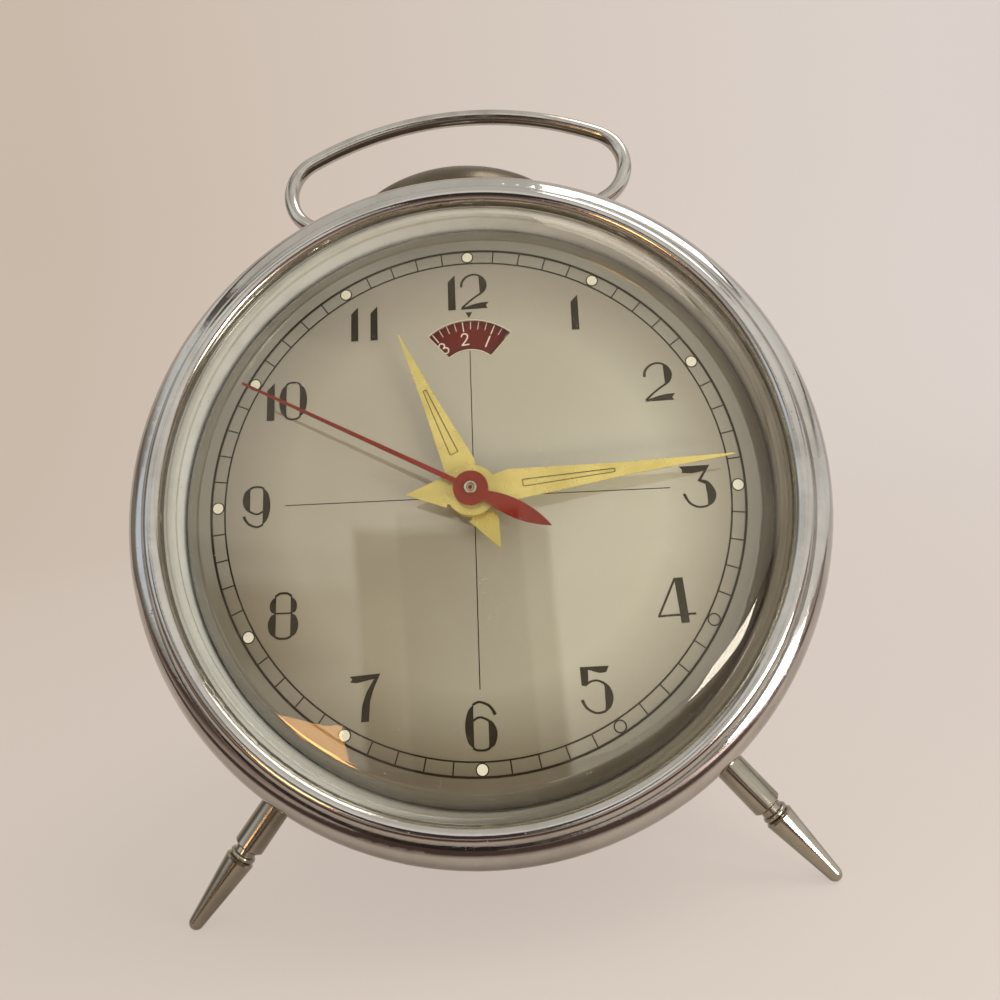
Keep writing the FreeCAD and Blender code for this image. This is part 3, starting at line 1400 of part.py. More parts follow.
def tail_shape(start, half, length, angle, z):
    tail = Part.Face(outline([(-half, -start), (half, -start), (0.12, -length), (-0.12, -length)], z))
    tail = tail.extrude(V(0, 0, hand_sheet))
    return spun(tail, angle)


def dagger_hand(length, tail, tail_angle, hole, z, panel, widths):
    """Hand with a long tapered blade, a sunk panel down its middle, a round boss and an arrow tail."""
    wide_at, wide, mid_at, mid = widths
    blade = Part.Face(outline([(-1.6, 2.0), (-wide, wide_at), (-mid, mid_at), (-0.1, length), (0.1, length),
                               (mid, mid_at), (wide, wide_at), (1.6, 2.0)], z)).extrude(V(0, 0, hand_sheet))
    boss = rod(hand_boss_radius, z, z + hand_sheet)
    neck = Part.Face(outline([(-1.6, 0), (1.6, 0), (2.2, -4.6), (-2.2, -4.6)], z))
    neck = neck.extrude(V(0, 0, hand_sheet))
    pieces = [blade, boss, spun(neck, tail_angle), tail_shape(4.2, 2.7, tail, tail_angle, z)]
    start, end, start_half, end_half = panel
    sunk = Part.Face(outline([(-start_half, start), (start_half, start), (end_half, end), (-end_half, end)],
                             z + hand_sheet - panel_depth)).extrude(V(0, 0, 1))
    return joined(pieces).cut(sunk).cut(rod(hole, z - 1, z + 2))


def make_hour_hand():
    hand = dagger_hand(hour_hand_length, hour_hand_tail, hour_hand_tail_angle, hour_pipe_radius - pipe_step,
                       hour_hand_z, hour_panel, hour_blade)
    return spun(hand, -hours_shown * 30.0)


def make_minute_hand():
    hand = dagger_hand(minute_hand_length, minute_hand_tail, minute_hand_tail_angle,
                       cannon_pipe_radius - pipe_step, minute_hand_z, minute_panel, minute_blade)
    return spun(hand, -minutes_shown * 6.0)


def make_second_hand():
    """Thin sweep hand with a leaf-shaped counterweight and a rivet on its arbor."""
    z, t = second_hand_z, hand_sheet
    far = second_hand_length
    blade = Part.Face(outline([(-0.45, 1.0), (0.45, 1.0), (0.2, far), (-0.2, far)], z)).extrude(V(0, 0, t))
    leaf = Part.Wire([
        Part.Arc(V(-0.5, -2.0, z), V(-1.5, -8.0, z), V(0, -second_hand_tail, z)).toShape(),
        Part.Arc(V(0, -second_hand_tail, z), V(1.5, -8.0, z), V(0.5, -2.0, z)).toShape(),
        Part.makeLine(V(0.5, -2.0, z), V(-0.5, -2.0, z)),
    ])
    boss = rod(second_hub_radius, z, z + t)
    tube = rod(1.1, z - 0.9, z + t + 0.3)
    hand = joined([blade, Part.Face(leaf).extrude(V(0, 0, t)), boss, tube])
    hand = hand.cut(rod(second_arbor_radius, z - 2, z + 2))
    return spun(hand, -seconds_shown * 6.0)


# Alarm work
def movement_place(x, y):
    """Where a place in the case lies for the movement, which sits turned in it."""
    return at_angle(math.hypot(x, y), math.degrees(math.atan2(y, x)) + movement_turn)


hammer_head_at = movement_place(-(bell_radius - bell_wall - hammer_head_inset),
                                bell_top - bell_height + hammer_head_rise)


def leaving_drum(start, end):
    """Point where a line from start, inside the drum, meets the drum's outside on its way to end."""
    dx, dy = end[0] - start[0], end[1] - start[1]
    a = dx * dx + dy * dy
    b = start[0] * dx + start[1] * dy
    c = start[0] ** 2 + start[1] ** 2 - drum_radius ** 2
    share = (math.sqrt(b * b - a * c) - b) / a
    return (start[0] + share * dx, start[1] + share * dy)


def hammer_slot():
    """Opening in the top of the drum for the hammer's arm and its swing."""
    x, y = leaving_drum(hammer_at, hammer_head_at)
    swing = distance(hammer_at, (x, y)) * math.sin(math.radians(hammer_swing))
    half = hammer_arm_half + swing + free_gap
    slot = Part.makeBox(hammer_slot_length, 2 * half, hammer_slot_width,
                        V(-hammer_slot_length / 2, -half, (hammer_sheet - hammer_slot_width) / 2))
    slot.rotate(ORIGIN, AXIS, math.degrees(math.atan2(y - hammer_at[1], x - hammer_at[0])))
    slot.translate(V(x, y, hammer_z))
    return slot


def make_star_wheel():
    points = []
    for i in range(star_teeth):
        points.append(at_angle(star_radius, 360.0 * i / star_teeth + star_turn()))
        points.append(at_angle(star_radius - star_tooth_depth, 360.0 * (i + 0.5) / star_teeth + star_turn()))
    wheel = sheet(outline(points, star_wheel_z), [], wheel_sheet)
    wheel.translate(V(star_at[0], star_at[1], 0))
    pinion = leaf_pinion(star_leaves, alarm_great_module, great_wheel_z - 0.6,
                         great_wheel_z + great_sheet + 0.6, star_at, star_pinion_turn)
    return joined([wheel, pinion, pivoted_arbor(star_at)])


def star_turn():
    """The points of the star stand a quarter of a tooth from the hammer's pins."""
    return hammer_direction + hammer_pin_angle + 360.0 / star_teeth / 4


def make_hammer():
    """Hammer: arbor, two pins that the star wheel kicks to and fro, the arm and its head in the bell."""
    circle = star_radius + hammer_pin_radius + hammer_pin_gap
    pins = [at_angle(circle, hammer_direction + s * hammer_pin_angle, star_at) for s in (-1, 1)]
    body = [strap(hammer_at, p, 1.0, hammer_z, hammer_sheet) for p in pins]
    body += [rod(hammer_pin_radius, star_wheel_z - 0.4, hammer_z + hammer_sheet, p) for p in pins]
    arm = strap(hammer_at, hammer_head_at, hammer_arm_half, hammer_z, hammer_sheet)
    out = (hammer_head_length - hammer_sheet) / 2
    head = rod(hammer_head_radius, hammer_z - out, hammer_z + hammer_sheet + out, hammer_head_at)
    hub = rod(hammer_hub_radius, hammer_z, hammer_z + hammer_sheet, hammer_at)
    return joined(body + [arm, head, hub, pivoted_arbor(hammer_at)])


def make_stop_button():
    """Push button whose rod comes up behind the hammer's arm."""
    inner_end = hammer_z - free_gap - stop_travel
    outer = dish_out_z - stop_travel - 2.6
    button = turned([(0, outer), (stop_button_radius - 0.5, outer), (stop_button_radius, outer + 0.5),
                     (stop_button_radius, dish_out_z - 0.4), (0, dish_out_z - 0.4)], stop_at)
    return joined([button, rod(stop_rod_radius, dish_out_z - 1, inner_end, stop_at)])


# Nodes of the case and nodes of the movement
case_nodes = {
    "case_drum": make_drum,
    "bezel": make_bezel,
    "glass": make_glass,
    "dial_ring": make_dial_ring,
    "handle": make_handle,
    "handle_fittings": lambda: Part.makeCompound(make_handle_nuts() + make_handle_collars()),
    "bell": make_bell,
    "bell_post": make_bell_post,
    "bell_nuts": make_bell_nuts,
    "left_leg": lambda: make_leg(-1),
    "right_leg": lambda: make_leg(1),
    "leg_nuts": make_leg_nuts,
}

movement_nodes = {
    "dial": make_dial,
    "back_cover": make_back_cover,
    "cover_screws": make_cover_screws,
    "front_plate": make_front_plate,
    "back_plate": make_back_plate,
    "plate_pillars": make_pillars,
    "pillar_nuts": make_pillar_nuts,
    "movement_posts": make_posts,
    "centre_bridge": make_centre_bridge,
    "centre_wheel": make_centre_wheel,
    "third_wheel": make_third_wheel,
    "fourth_wheel": make_fourth_wheel,
    "escape_wheel": make_escape_wheel,
    "pallet_lever": make_lever,
    "balance_wheel": make_balance_wheel,
    "balance_staff": make_balance_staff,
    "balance_screws": make_balance_screws,
    "hairspring": make_hairspring,
    "regulator_lever": make_regulator,
    "time_great_wheel": lambda: make_great_wheel(great_teeth, great_module, great_turn, time_at,
                                                 time_click_angle),
    "time_ratchet": lambda: make_ratchet(time_at, ratchet_turn(time_click_angle)),
    "time_click": lambda: make_click(time_at, time_click_angle),
    "time_key": lambda: make_key(time_at, time_key_turn),
    "time_mainspring": lambda: make_mainspring(time_at),
    "alarm_great_wheel": lambda: make_great_wheel(alarm_great_teeth, alarm_great_module, 0.0, alarm_great_at,
                                                  alarm_click_angle),
    "alarm_ratchet": lambda: make_ratchet(alarm_great_at, ratchet_turn(alarm_click_angle)),
    "alarm_click": lambda: make_click(alarm_great_at, alarm_click_angle),
    "alarm_key": lambda: make_key(alarm_great_at, alarm_key_turn),
    "alarm_mainspring": lambda: make_mainspring(alarm_great_at),
    "cannon_pinion": make_cannon_pinion,
    "minute_bush": make_minute_bush,
    "minute_wheel": make_minute_wheel,
    "hour_sleeve": make_hour_sleeve,
    "hour_wheel": make_hour_wheel,
    "alarm_sleeve": make_alarm_sleeve,
    "alarm_wheel": make_alarm_wheel,
    "set_sleeve": make_set_sleeve,
    "hand_set_knob": make_set_knob,
    "alarm_arbor": make_alarm_arbor,
    "alarm_set_knob": make_alarm_knob,
    "alarm_disc": make_alarm_disc,
    "alarm_release_spring": make_release_spring,
    "hour_hand": make_hour_hand,
    "minute_hand": make_minute_hand,
    "second_hand": make_second_hand,
    "star_wheel": make_star_wheel,
    "hammer": make_hammer,
    "stop_button": make_stop_button,
}


def ratchet_turn(click_angle):
    """A tooth of the ratchet stands just in front of the click's nose."""
    return click_angle + click_arm_angle - ratchet_lead


def lean_angle():
    """Degrees that the clock leans back when it rests on its legs and the drum's rear edge."""
    leg = leg_tip_at - leg_tip_radius
    drop = leg * math.cos(math.radians(leg_angle)) - (drum_radius - drum_edge_round)
    run = leg_z - drum_back_z - drum_edge_round
    level = drum_edge_round - leg_tip_radius
    return math.degrees(math.acos(level / math.hypot(drop, run)) - math.atan2(run, drop))


def standing(shapes):
    """Placement that leans the clock back and sets the middle of its box's base on the origin."""
    turn = FreeCAD.Placement(V(0, 0, 0), FreeCAD.Rotation(V(1, 0, 0), 90 - lean_angle()))
    whole = Part.makeCompound(shapes)
    whole.Placement = turn
    box = whole.optimalBoundingBox(False)
    middle = V((box.XMin + box.XMax) / 2, (box.YMin + box.YMax) / 2, box.ZMin)
    return FreeCAD.Placement(-middle, turn.Rotation)


def main():
    pieces = {}
    for name, make in case_nodes.items():
        pieces[name] = make()
    for name, make in movement_nodes.items():
        pieces[name] = into_case(make())
    pose = standing(list(pieces.values()))
    os.makedirs("parts", exist_ok=True)
    for name, shape in pieces.items():
        shape.Placement = pose.multiply(shape.Placement)
        shape.exportStep(os.path.join("parts", name + ".step"))


main()
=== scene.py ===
"""Looks of the wind-up alarm clock: materials, printed dial, studio and camera."""

import json
import math

import bmesh
import bpy
from mathutils import Matrix, Vector


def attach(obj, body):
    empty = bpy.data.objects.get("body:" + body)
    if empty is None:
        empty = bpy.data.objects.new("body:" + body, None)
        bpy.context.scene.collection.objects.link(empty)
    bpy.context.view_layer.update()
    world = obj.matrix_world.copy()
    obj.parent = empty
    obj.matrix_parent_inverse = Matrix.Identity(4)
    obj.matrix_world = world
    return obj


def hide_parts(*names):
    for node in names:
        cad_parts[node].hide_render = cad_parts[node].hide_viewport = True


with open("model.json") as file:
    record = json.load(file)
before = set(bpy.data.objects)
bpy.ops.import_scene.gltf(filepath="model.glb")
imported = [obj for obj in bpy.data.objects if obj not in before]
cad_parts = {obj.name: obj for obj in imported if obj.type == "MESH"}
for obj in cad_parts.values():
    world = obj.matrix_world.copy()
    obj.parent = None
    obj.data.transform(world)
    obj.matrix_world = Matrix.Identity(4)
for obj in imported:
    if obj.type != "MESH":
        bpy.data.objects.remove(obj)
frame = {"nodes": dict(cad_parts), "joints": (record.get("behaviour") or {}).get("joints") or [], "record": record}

bl_info = {
    "name": "Wind-up alarm clock looks",
    "version": (1, 0, 0),
    "blender": (4, 5, 0),
    "location": "View3D > Sidebar > Clock",
    "description": "Paints and prints the alarm clock and sets up its studio",
    "category": "Object",
}

MM = 0.001
PRINT_LIFT = 0.02       # height of the printed ink above the dial, in mm
DISC_FACE = -0.9        # face of the alarm disc behind the dial's face, in mm


# Places on the clock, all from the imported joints
def joint(name):
    return next(j for j in frame["joints"] if j["name"] == name)


def clock_matrix():
    """From the dial's own axes (x right, y to 12, z to the viewer, in mm) to the row frame."""
    hands = joint("seconds_arbor")
    alarm = joint("alarm_setting_knob")
    centre = Vector(hands["pos_m"])
    front = -Vector(hands["axis"])
    up = (Vector(alarm["pos_m"]) - centre).normalized()
    right = up.cross(front)
    turn = Matrix((right, up, front)).transposed().to_4x4()
    return Matrix.Translation(centre) @ turn @ Matrix.Scale(MM, 4)


CLOCK = clock_matrix()
ALARM_Y = (Vector(joint("alarm_setting_knob")["pos_m"]) - Vector(joint("seconds_arbor")["pos_m"])).length / MM


def reach(name):
    """Largest radius, lowest and highest level of a piece, in the dial's axes."""
    seen = CLOCK.inverted()
    points = [seen @ vertex.co for vertex in frame["nodes"][name].data.vertices]
    return (max(math.hypot(p.x, p.y) for p in points), min(p.z for p in points), max(p.z for p in points))


# The crystal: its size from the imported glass, and where its crown turns down to the steep brim
GLASS_EDGE, GLASS_BACK, GLASS_TOP = reach("glass")
GLASS_THICKNESS = 1.5
GLASS_SEAT = GLASS_BACK + GLASS_THICKNESS
GLASS_BRIM = GLASS_EDGE - 2.2
GLASS_SHOULDER = GLASS_BRIM - 5.6
GLASS_BRIM_RISE = 4.5
SHARP_FROM = math.radians(40.0)     # angle from which an edge of a turned piece stays sharp


# Metals: colour, colour where smudged, roughness of each, scale of the marks, strength of the specks
METALS = {
    "case_chrome": ((0.57, 0.555, 0.535), (0.44, 0.425, 0.40), (0.06, 0.22), 1.0, 0.6),
    "handle_nickel": ((0.56, 0.54, 0.51), (0.38, 0.35, 0.31), (0.10, 0.30), 1.6, 0.6),
    "leg_nickel": ((0.42, 0.39, 0.33), (0.26, 0.235, 0.18), (0.10, 0.26), 1.2, 0.6),
    # The bell's steel is darkened far below bare steel, partly as painted shade on the bell
    "bell_steel": ((0.14, 0.115, 0.08), (0.09, 0.072, 0.048), (0.24, 0.38), 1.4, 0.6),
    "cover_nickel": ((0.55, 0.54, 0.52), (0.42, 0.40, 0.37), (0.20, 0.38), 1.0, 0.6),
    "hand_gilt": ((0.71, 0.59, 0.20), (0.58, 0.48, 0.14), (0.24, 0.34), 3.0, 0.2),
    # Dark gilt of the painted shade along the edges of the hands' sunk panels
    "gilt_shade": ((0.20, 0.13, 0.035), (0.13, 0.085, 0.02), (0.40, 0.50), 1.0, 0.6),
    "rivet_nickel": ((0.62, 0.56, 0.50), (0.45, 0.38, 0.32), (0.12, 0.30), 3.0, 0.6),
    "works_brass": ((0.60, 0.42, 0.17), (0.46, 0.32, 0.13), (0.18, 0.36), 2.0, 0.6),
    "works_steel": ((0.42, 0.41, 0.40), (0.30, 0.29, 0.28), (0.14, 0.30), 2.0, 0.6),
    "works_blued": ((0.10, 0.12, 0.20), (0.08, 0.09, 0.12), (0.20, 0.35), 2.0, 0.6),
    "knob_alloy": ((0.55, 0.54, 0.53), (0.44, 0.43, 0.41), (0.22, 0.40), 2.0, 0.6),
}
# Paints: colour, colour where smudged, roughness, shine
PAINTS = {
    "ring_cream": ((0.74, 0.745, 0.73), (0.66, 0.66, 0.635), 0.3, 0.3),
    "disc_red": ((0.115, 0.006, 0.003), (0.09, 0.005, 0.003), 0.55, 0.05),
    "second_red": ((0.19, 0.012, 0.003), (0.15, 0.010, 0.003), 0.4, 0.1),
}
# Inks: colour, roughness
INKS = {
    "dial_ink": ((0.016, 0.011, 0.004), 0.5),
    "dot_paint": ((0.62, 0.60, 0.50), 0.6),
    "edge_paint": ((0.55, 0.47, 0.36), 0.5),
    "disc_white": ((0.62, 0.55, 0.49), 0.5),
    # Painted shade in the hole of the seconds hand's rivet
    "rivet_dark": ((0.05, 0.014, 0.01), 0.5),
}
YELLOWING_AND_SHADE = (0.36, 0.31, 0.22)           # colour where the dial has yellowed, and of the painted shade on the ring
WORN_PLATING = (0.10, 0.07, 0.05)   # colour of a speck where the plating has gone
SCRATCH_ROUGHNESS = 0.05            # what a scratch adds to a metal's roughness
SMUDGE_ROUGHNESS = 0.15             # what a smudge adds to a paint's roughness
INK_SHINE = 0.05
GILT_METALLIC = 0.55                # a gilt lacquer more than a metal
GLASS_HAZE, GLASS_DUST = 0.008, 0.35    # strength of a smudge and of a speck on the glass
DIAL_REACH = 54.0                   # radius at which the lacquer's colours and the painted rim shade end, in mm


def new_material(name):
    material = bpy.data.materials.new(name)
    material.use_nodes = True
    tree = material.node_tree
    tree.nodes.clear()
    tree.nodes.new("ShaderNodeOutputMaterial")
    shader = tree.nodes.new("ShaderNodeBsdfPrincipled")
    tree.links.new(shader.outputs["BSDF"], surface(tree))
    return material, tree, shader


def surface(tree):
    """Where a material's finished look goes in."""
    return next(n for n in tree.nodes if n.type == "OUTPUT_MATERIAL").inputs["Surface"]


def feed(made, **inputs):
    """Give a node's inputs values, or sockets to link from: i and a number is an input's place."""
    for key, value in inputs.items():
        socket = made.inputs[int(key[1:]) if key.startswith("i") else key.replace("_", " ")]
        if isinstance(value, bpy.types.NodeSocket):
            made.id_data.links.new(value, socket)
        else:
            socket.default_value = value


def node(tree, kind, settings=None, **inputs):
    """Node with its settings and inputs."""
    made = tree.nodes.new(kind)
    for key, value in (settings or {}).items():
        setattr(made, key, value)
    feed(made, **inputs)
    return made


def maths(tree, operation, *values):
    """Result of a math node on values or sockets."""
    inputs = {"i%d" % place: value for place, value in enumerate(values)}
    return node(tree, "ShaderNodeMath", {"operation": operation}, **inputs).outputs[0]


def fitted(tree, value, low, high, first=0.0, last=1.0):
    """Value carried from between low and high to between first and last, and held there."""
    return node(tree, "ShaderNodeMapRange", Value=value, i1=low, i2=high, i3=first, i4=last).outputs[0]


def clouds(tree, place, scale, detail, roughness=0.5):
    """Cloudy mask over the given coordinates."""
    return node(tree, "ShaderNodeTexNoise", Vector=place, Scale=scale, Detail=detail,
                Roughness=roughness).outputs["Fac"]


def along(tree, place, way):
    """How far a place lies along a direction."""
    return node(tree, "ShaderNodeVectorMath", {"operation": "DOT_PRODUCT"}, i0=place, i1=way).outputs["Value"]


def object_place(tree):
    return node(tree, "ShaderNodeTexCoord").outputs["Object"]


def linked(name, data):
    """New object in the scene."""
    made = bpy.data.objects.new(name, data)
    bpy.context.scene.collection.objects.link(made)
    return made


def meshed(name, mesh):
    """New object in the scene from a bmesh, its faces turned one way."""
    bmesh.ops.recalc_face_normals(mesh, faces=mesh.faces)
    data = bpy.data.meshes.new(name)
    mesh.to_mesh(data)
    mesh.free()
    return linked(name, data)


def group_tree(name, inputs, outputs):
    """Shader node group with float inputs (name, default) and outputs (name, type)."""
    tree = bpy.data.node_groups.new(name, "ShaderNodeTree")
    for label, default in inputs:
        socket = tree.interface.new_socket(label, in_out="INPUT", socket_type="NodeSocketFloat")
        socket.default_value = default
    for label, kind in outputs:
        tree.interface.new_socket(label, in_out="OUTPUT", socket_type=kind)
    return tree, tree.nodes.new("NodeGroupInput"), tree.nodes.new("NodeGroupOutput")


def build_wear_group():
    """Smudges, specks and hairline scratches, as masks for any finish."""
    tree, inp, out = group_tree("wear_marks", [("Scale", 1.0)],
                                [("Smudge", "NodeSocketFloat"), ("Specks", "NodeSocketFloat"),
                                 ("Scratch", "NodeSocketFloat"), ("Normal", "NodeSocketVector")])
    at = node(tree, "ShaderNodeVectorMath", {"operation": "SCALE"}, i0=object_place(tree),
              i3=inp.outputs["Scale"]).outputs["Vector"]
    smudge = fitted(tree, clouds(tree, at, 70.0, 5.0, 0.6), 0.42, 0.7)
    dots = node(tree, "ShaderNodeTexVoronoi", {"feature": "F1"}, Vector=at, Scale=900.0, Randomness=1.0)
    specks = maths(tree, "MULTIPLY", fitted(tree, dots.outputs["Distance"], 0.16, 0.08),
                   fitted(tree, clouds(tree, at, 160.0, 2.0), 0.56, 0.66))
    lines = node(tree, "ShaderNodeTexWave", {"wave_type": "BANDS", "bands_direction": "DIAGONAL"}, Vector=at,
                 Scale=55.0, Distortion=60.0, Detail=2.0)
    scratch = maths(tree, "MULTIPLY", fitted(tree, lines.outputs["Fac"], 0.985, 1.0),
                    fitted(tree, clouds(tree, at, 230.0, 1.0), 0.55, 0.62))
    ripple = node(tree, "ShaderNodeBump", Strength=0.04, Distance=0.0002,
                  Height=clouds(tree, at, 1500.0, 3.0))
    feed(out, Smudge=smudge, Specks=specks, Scratch=scratch, Normal=ripple.outputs["Normal"])
    return tree


def wear(tree, scale):
    """Masks of wear at the given scale."""
    marks = bpy.data.node_groups.get("wear_marks") or build_wear_group()
    return node(tree, "ShaderNodeGroup", {"node_tree": marks}, Scale=scale).outputs


def blend_colour(tree, low, high, mask):
    """Colour between two, each a colour or a socket, by a mask."""
    colours = {key: value + (1.0,) if isinstance(value, tuple) else value
               for key, value in (("i6", low), ("i7", high))}
    return node(tree, "ShaderNodeMix", {"data_type": "RGBA"}, i0=mask, **colours).outputs[2]


def ranged(tree, value, low, high):
    return fitted(tree, value, 0.0, 1.0, low, high)


def colour_ramp(tree, value, stops):
    """Colour that follows a value through the given stops."""
    ramp = node(tree, "ShaderNodeValToRGB", Fac=value)
    points = ramp.color_ramp.elements
    while len(points) < len(stops):
        points.new(0.5)
    for point, (at, colour) in zip(points, stops):
        point.position = at
        point.color = colour + (1.0,)
    return ramp.outputs["Color"]


def principled(tree):
    return next(n for n in tree.nodes if n.type == "BSDF_PRINCIPLED")


def metal_material(name):
    """Plated or polished metal with smudges that dull it and dark specks where the plating has gone."""
    base, dull, rough, scale, specks = METALS[name]
    material, tree, shader = new_material(name)
    marks = wear(tree, scale)
    tint = blend_colour(tree, base, dull, marks["Smudge"])
    strength = maths(tree, "MULTIPLY", marks["Specks"], specks)
    rougher = maths(tree, "ADD", ranged(tree, marks["Smudge"], *rough), strength)
    feed(shader, Base_Color=blend_colour(tree, tint, WORN_PLATING, strength),
         Roughness=maths(tree, "MULTIPLY_ADD", marks["Scratch"], SCRATCH_ROUGHNESS, rougher),
         Normal=marks["Normal"], Metallic=1.0)
    return material


def dial_position(tree):
    """Object coordinates turned into the dial's own axes, in mm."""
    place = object_place(tree)
    x, y, z = (maths(tree, "ADD", along(tree, place, tuple(row[:3])), row[3]) for row in CLOCK.inverted()[:3])
    return node(tree, "ShaderNodeCombineXYZ", X=x, Y=y, Z=z).outputs[0]


def dial_material():
    """Champagne lacquer with a fine metallic grain under a clear coat: it darkens towards the rim, partly as its
    own smoked edge and partly as painted shade, and a painted sheen makes it brighter towards the lower right.
    """
    material, tree, shader = new_material("dial_lacquer")
    place = dial_position(tree)
    flat = node(tree, "ShaderNodeVectorMath", {"operation": "MULTIPLY"}, i0=place, i1=(1.0, 1.0, 0.0))
    radius = node(tree, "ShaderNodeVectorMath", {"operation": "LENGTH"}, i0=flat.outputs[0])
    # Colour out from the centre: darker towards the rim, partly the lacquer's smoked edge and partly painted shade
    # where the edge bends back
    lacquer = colour_ramp(tree, maths(tree, "DIVIDE", radius.outputs["Value"], DIAL_REACH), (
        (0.0, (0.335, 0.31, 0.24)), (0.6, (0.33, 0.305, 0.23)), (0.79, (0.14, 0.115, 0.07)),
        (0.86, (0.065, 0.052, 0.028)), (0.94, (0.045, 0.034, 0.018))))
    # Painted sheen and shade: the dial is brighter and cooler towards the lower right, and darker and warmer
    # towards the upper left
    painted_sheen = colour_ramp(tree, fitted(tree, along(tree, place, (0.8, -0.6, 0.0)), -45.0, 45.0), (
        (0.0, (0.80, 0.74, 0.66)), (0.5, (1.0, 1.0, 1.0)), (0.72, (1.18, 1.24, 1.32)),
        (1.0, (1.18, 1.24, 1.32))))
    lacquer_with_sheen = node(tree, "ShaderNodeVectorMath", {"operation": "MULTIPLY"}, i0=lacquer, i1=painted_sheen)
    grain = clouds(tree, place, 9.0, 4.0, 0.75)
    grainy = blend_colour(tree, lacquer_with_sheen.outputs[0], (0.62, 0.58, 0.47), fitted(tree, grain, 0.3, 0.7, 0.0, 0.2))
    stain = ranged(tree, clouds(tree, place, 0.05, 3.0), 0.0, 0.22)
    bump = node(tree, "ShaderNodeBump", Strength=0.12, Distance=0.00004, Height=grain)
    feed(shader, Base_Color=blend_colour(tree, grainy, YELLOWING_AND_SHADE, stain), Normal=bump.outputs["Normal"],
         Metallic=0.25, Roughness=0.5, Coat_Weight=1.0, Coat_IOR=2.2, Coat_Roughness=0.02)
    return material


def gilt_material():
    """Gilt sheet, with the slight waves of stamping under its fine ripple."""
    material = metal_material("hand_gilt")
    tree = material.node_tree
    shader = principled(tree)
    ripple = shader.inputs["Normal"].links[0].from_socket
    waves = node(tree, "ShaderNodeBump", Strength=0.5, Distance=0.0006,
                 Height=clouds(tree, object_place(tree), 110.0, 0.0), Normal=ripple)
    feed(shader, Normal=waves.outputs["Normal"], Metallic=GILT_METALLIC)
    return material


def paint_material(name):
    colour, worn, roughness, shine = PAINTS[name]
    material, tree, shader = new_material(name)
    marks = wear(tree, 2.0)
    feed(shader, Base_Color=blend_colour(tree, colour, worn, marks["Smudge"]), Normal=marks["Normal"],
         Roughness=ranged(tree, marks["Smudge"], roughness, roughness + SMUDGE_ROUGHNESS),
         Specular_IOR_Level=shine)
    return material


def ring_material():
    """Cream enamel, with painted shade that darkens and warms it towards the lower right."""
    material = paint_material("ring_cream")
    tree = material.node_tree
    colour = principled(tree).inputs["Base Color"]
    # Painted shade: the ring darkens towards the lower right, the side the light does not reach
    painted_shade = fitted(tree, along(tree, dial_position(tree), (0.75, -0.66, 0.0)), 5.0, 50.0, 0.0, 0.8)
    tree.links.new(blend_colour(tree, colour.links[0].from_socket, YELLOWING_AND_SHADE, painted_shade), colour)
    return material


def glass_material():
    """Clear crystal with a faint haze and dust: its outer face carries the reflection of both faces."""
    material, tree, shader = new_material("crystal")
    tree.nodes.remove(shader)
    marks = wear(tree, 1.3)
    clear = node(tree, "ShaderNodeBsdfTransparent", Color=(0.985, 0.985, 0.965, 1.0))
    gloss = node(tree, "ShaderNodeBsdfGlossy", Color=(1.0, 0.93, 0.80, 1.0),
                 Roughness=ranged(tree, marks["Smudge"], 0.01, 0.05))
    outward = maths(tree, "SUBTRACT", 1.0, node(tree, "ShaderNodeNewGeometry").outputs["Backfacing"])
    share = maths(tree, "MULTIPLY", node(tree, "ShaderNodeFresnel", IOR=1.5).outputs[0], outward)
    base = node(tree, "ShaderNodeMixShader", i0=share, i1=clear.outputs[0], i2=gloss.outputs[0])
    dust = node(tree, "ShaderNodeBsdfDiffuse", Color=(0.8, 0.78, 0.72, 1.0))
    haze = maths(tree, "MULTIPLY_ADD", marks["Smudge"], GLASS_HAZE,
                 maths(tree, "MULTIPLY", marks["Specks"], GLASS_DUST))
    full = node(tree, "ShaderNodeMixShader", i0=haze, i1=base.outputs[0], i2=dust.outputs[0])
    tree.links.new(full.outputs[0], surface(tree))
    return material


def ink_material(name):
    """Matt printed colour, slightly faded in fine patches."""
    colour, roughness = INKS[name]
    material, tree, shader = new_material(name)
    patches = ranged(tree, clouds(tree, object_place(tree), 2500.0, 3.0), 0.0, 0.6)
    faded = tuple(min(1.0, c * 1.4 + 0.012) for c in colour)
    feed(shader, Base_Color=blend_colour(tree, colour, faded, patches), Roughness=roughness,
         Specular_IOR_Level=INK_SHINE)
    return material


# Printed shapes, as flat loops in the dial's plane
def arc(radius, start, end, steps, cy=0.0):
    """Points on a circle round (0, cy), from one angle in degrees to another."""
    angles = [math.radians(start + (end - start) * i / steps) for i in range(steps + 1)]
    return [(radius * math.cos(a), cy + radius * math.sin(a)) for a in angles]


def smooth(points, steps=6):
    """Points on a smooth line through the given ones."""
    out = []
    for i in range(len(points) - 1):
        four = [points[min(max(0, i + shift), len(points) - 1)] for shift in (-1, 0, 1, 2)]
        for k in range(steps):
            t = k / steps
            out.append(tuple(0.5 * (2 * b + (c - a) * t + (2 * a - 5 * b + 4 * c - d) * t * t
                                    + (3 * b - a - 3 * c + d) * t ** 3) for a, b, c, d in zip(*four)))
    out.append(points[-1])
    return out


def stroke(points, soften=True):
    """Loop round a line of (x, y, width)."""
    line = smooth(points) if soften else points
    left, right = [], []
    for i, (x, y, w) in enumerate(line):
        ax, ay = line[max(0, i - 1)][:2]
        bx, by = line[min(len(line) - 1, i + 1)][:2]
        length = math.hypot(bx - ax, by - ay)
        nx, ny = -(by - ay) / length * w / 2, (bx - ax) / length * w / 2
        left.append((x + nx, y + ny))
        right.append((x - nx, y - ny))
    return left + right[::-1]


def even(points, width=0.05, soften=True):
    """Loop of one width round a line of (x, y)."""
    return stroke([(x, y, width) for x, y in points], soften)


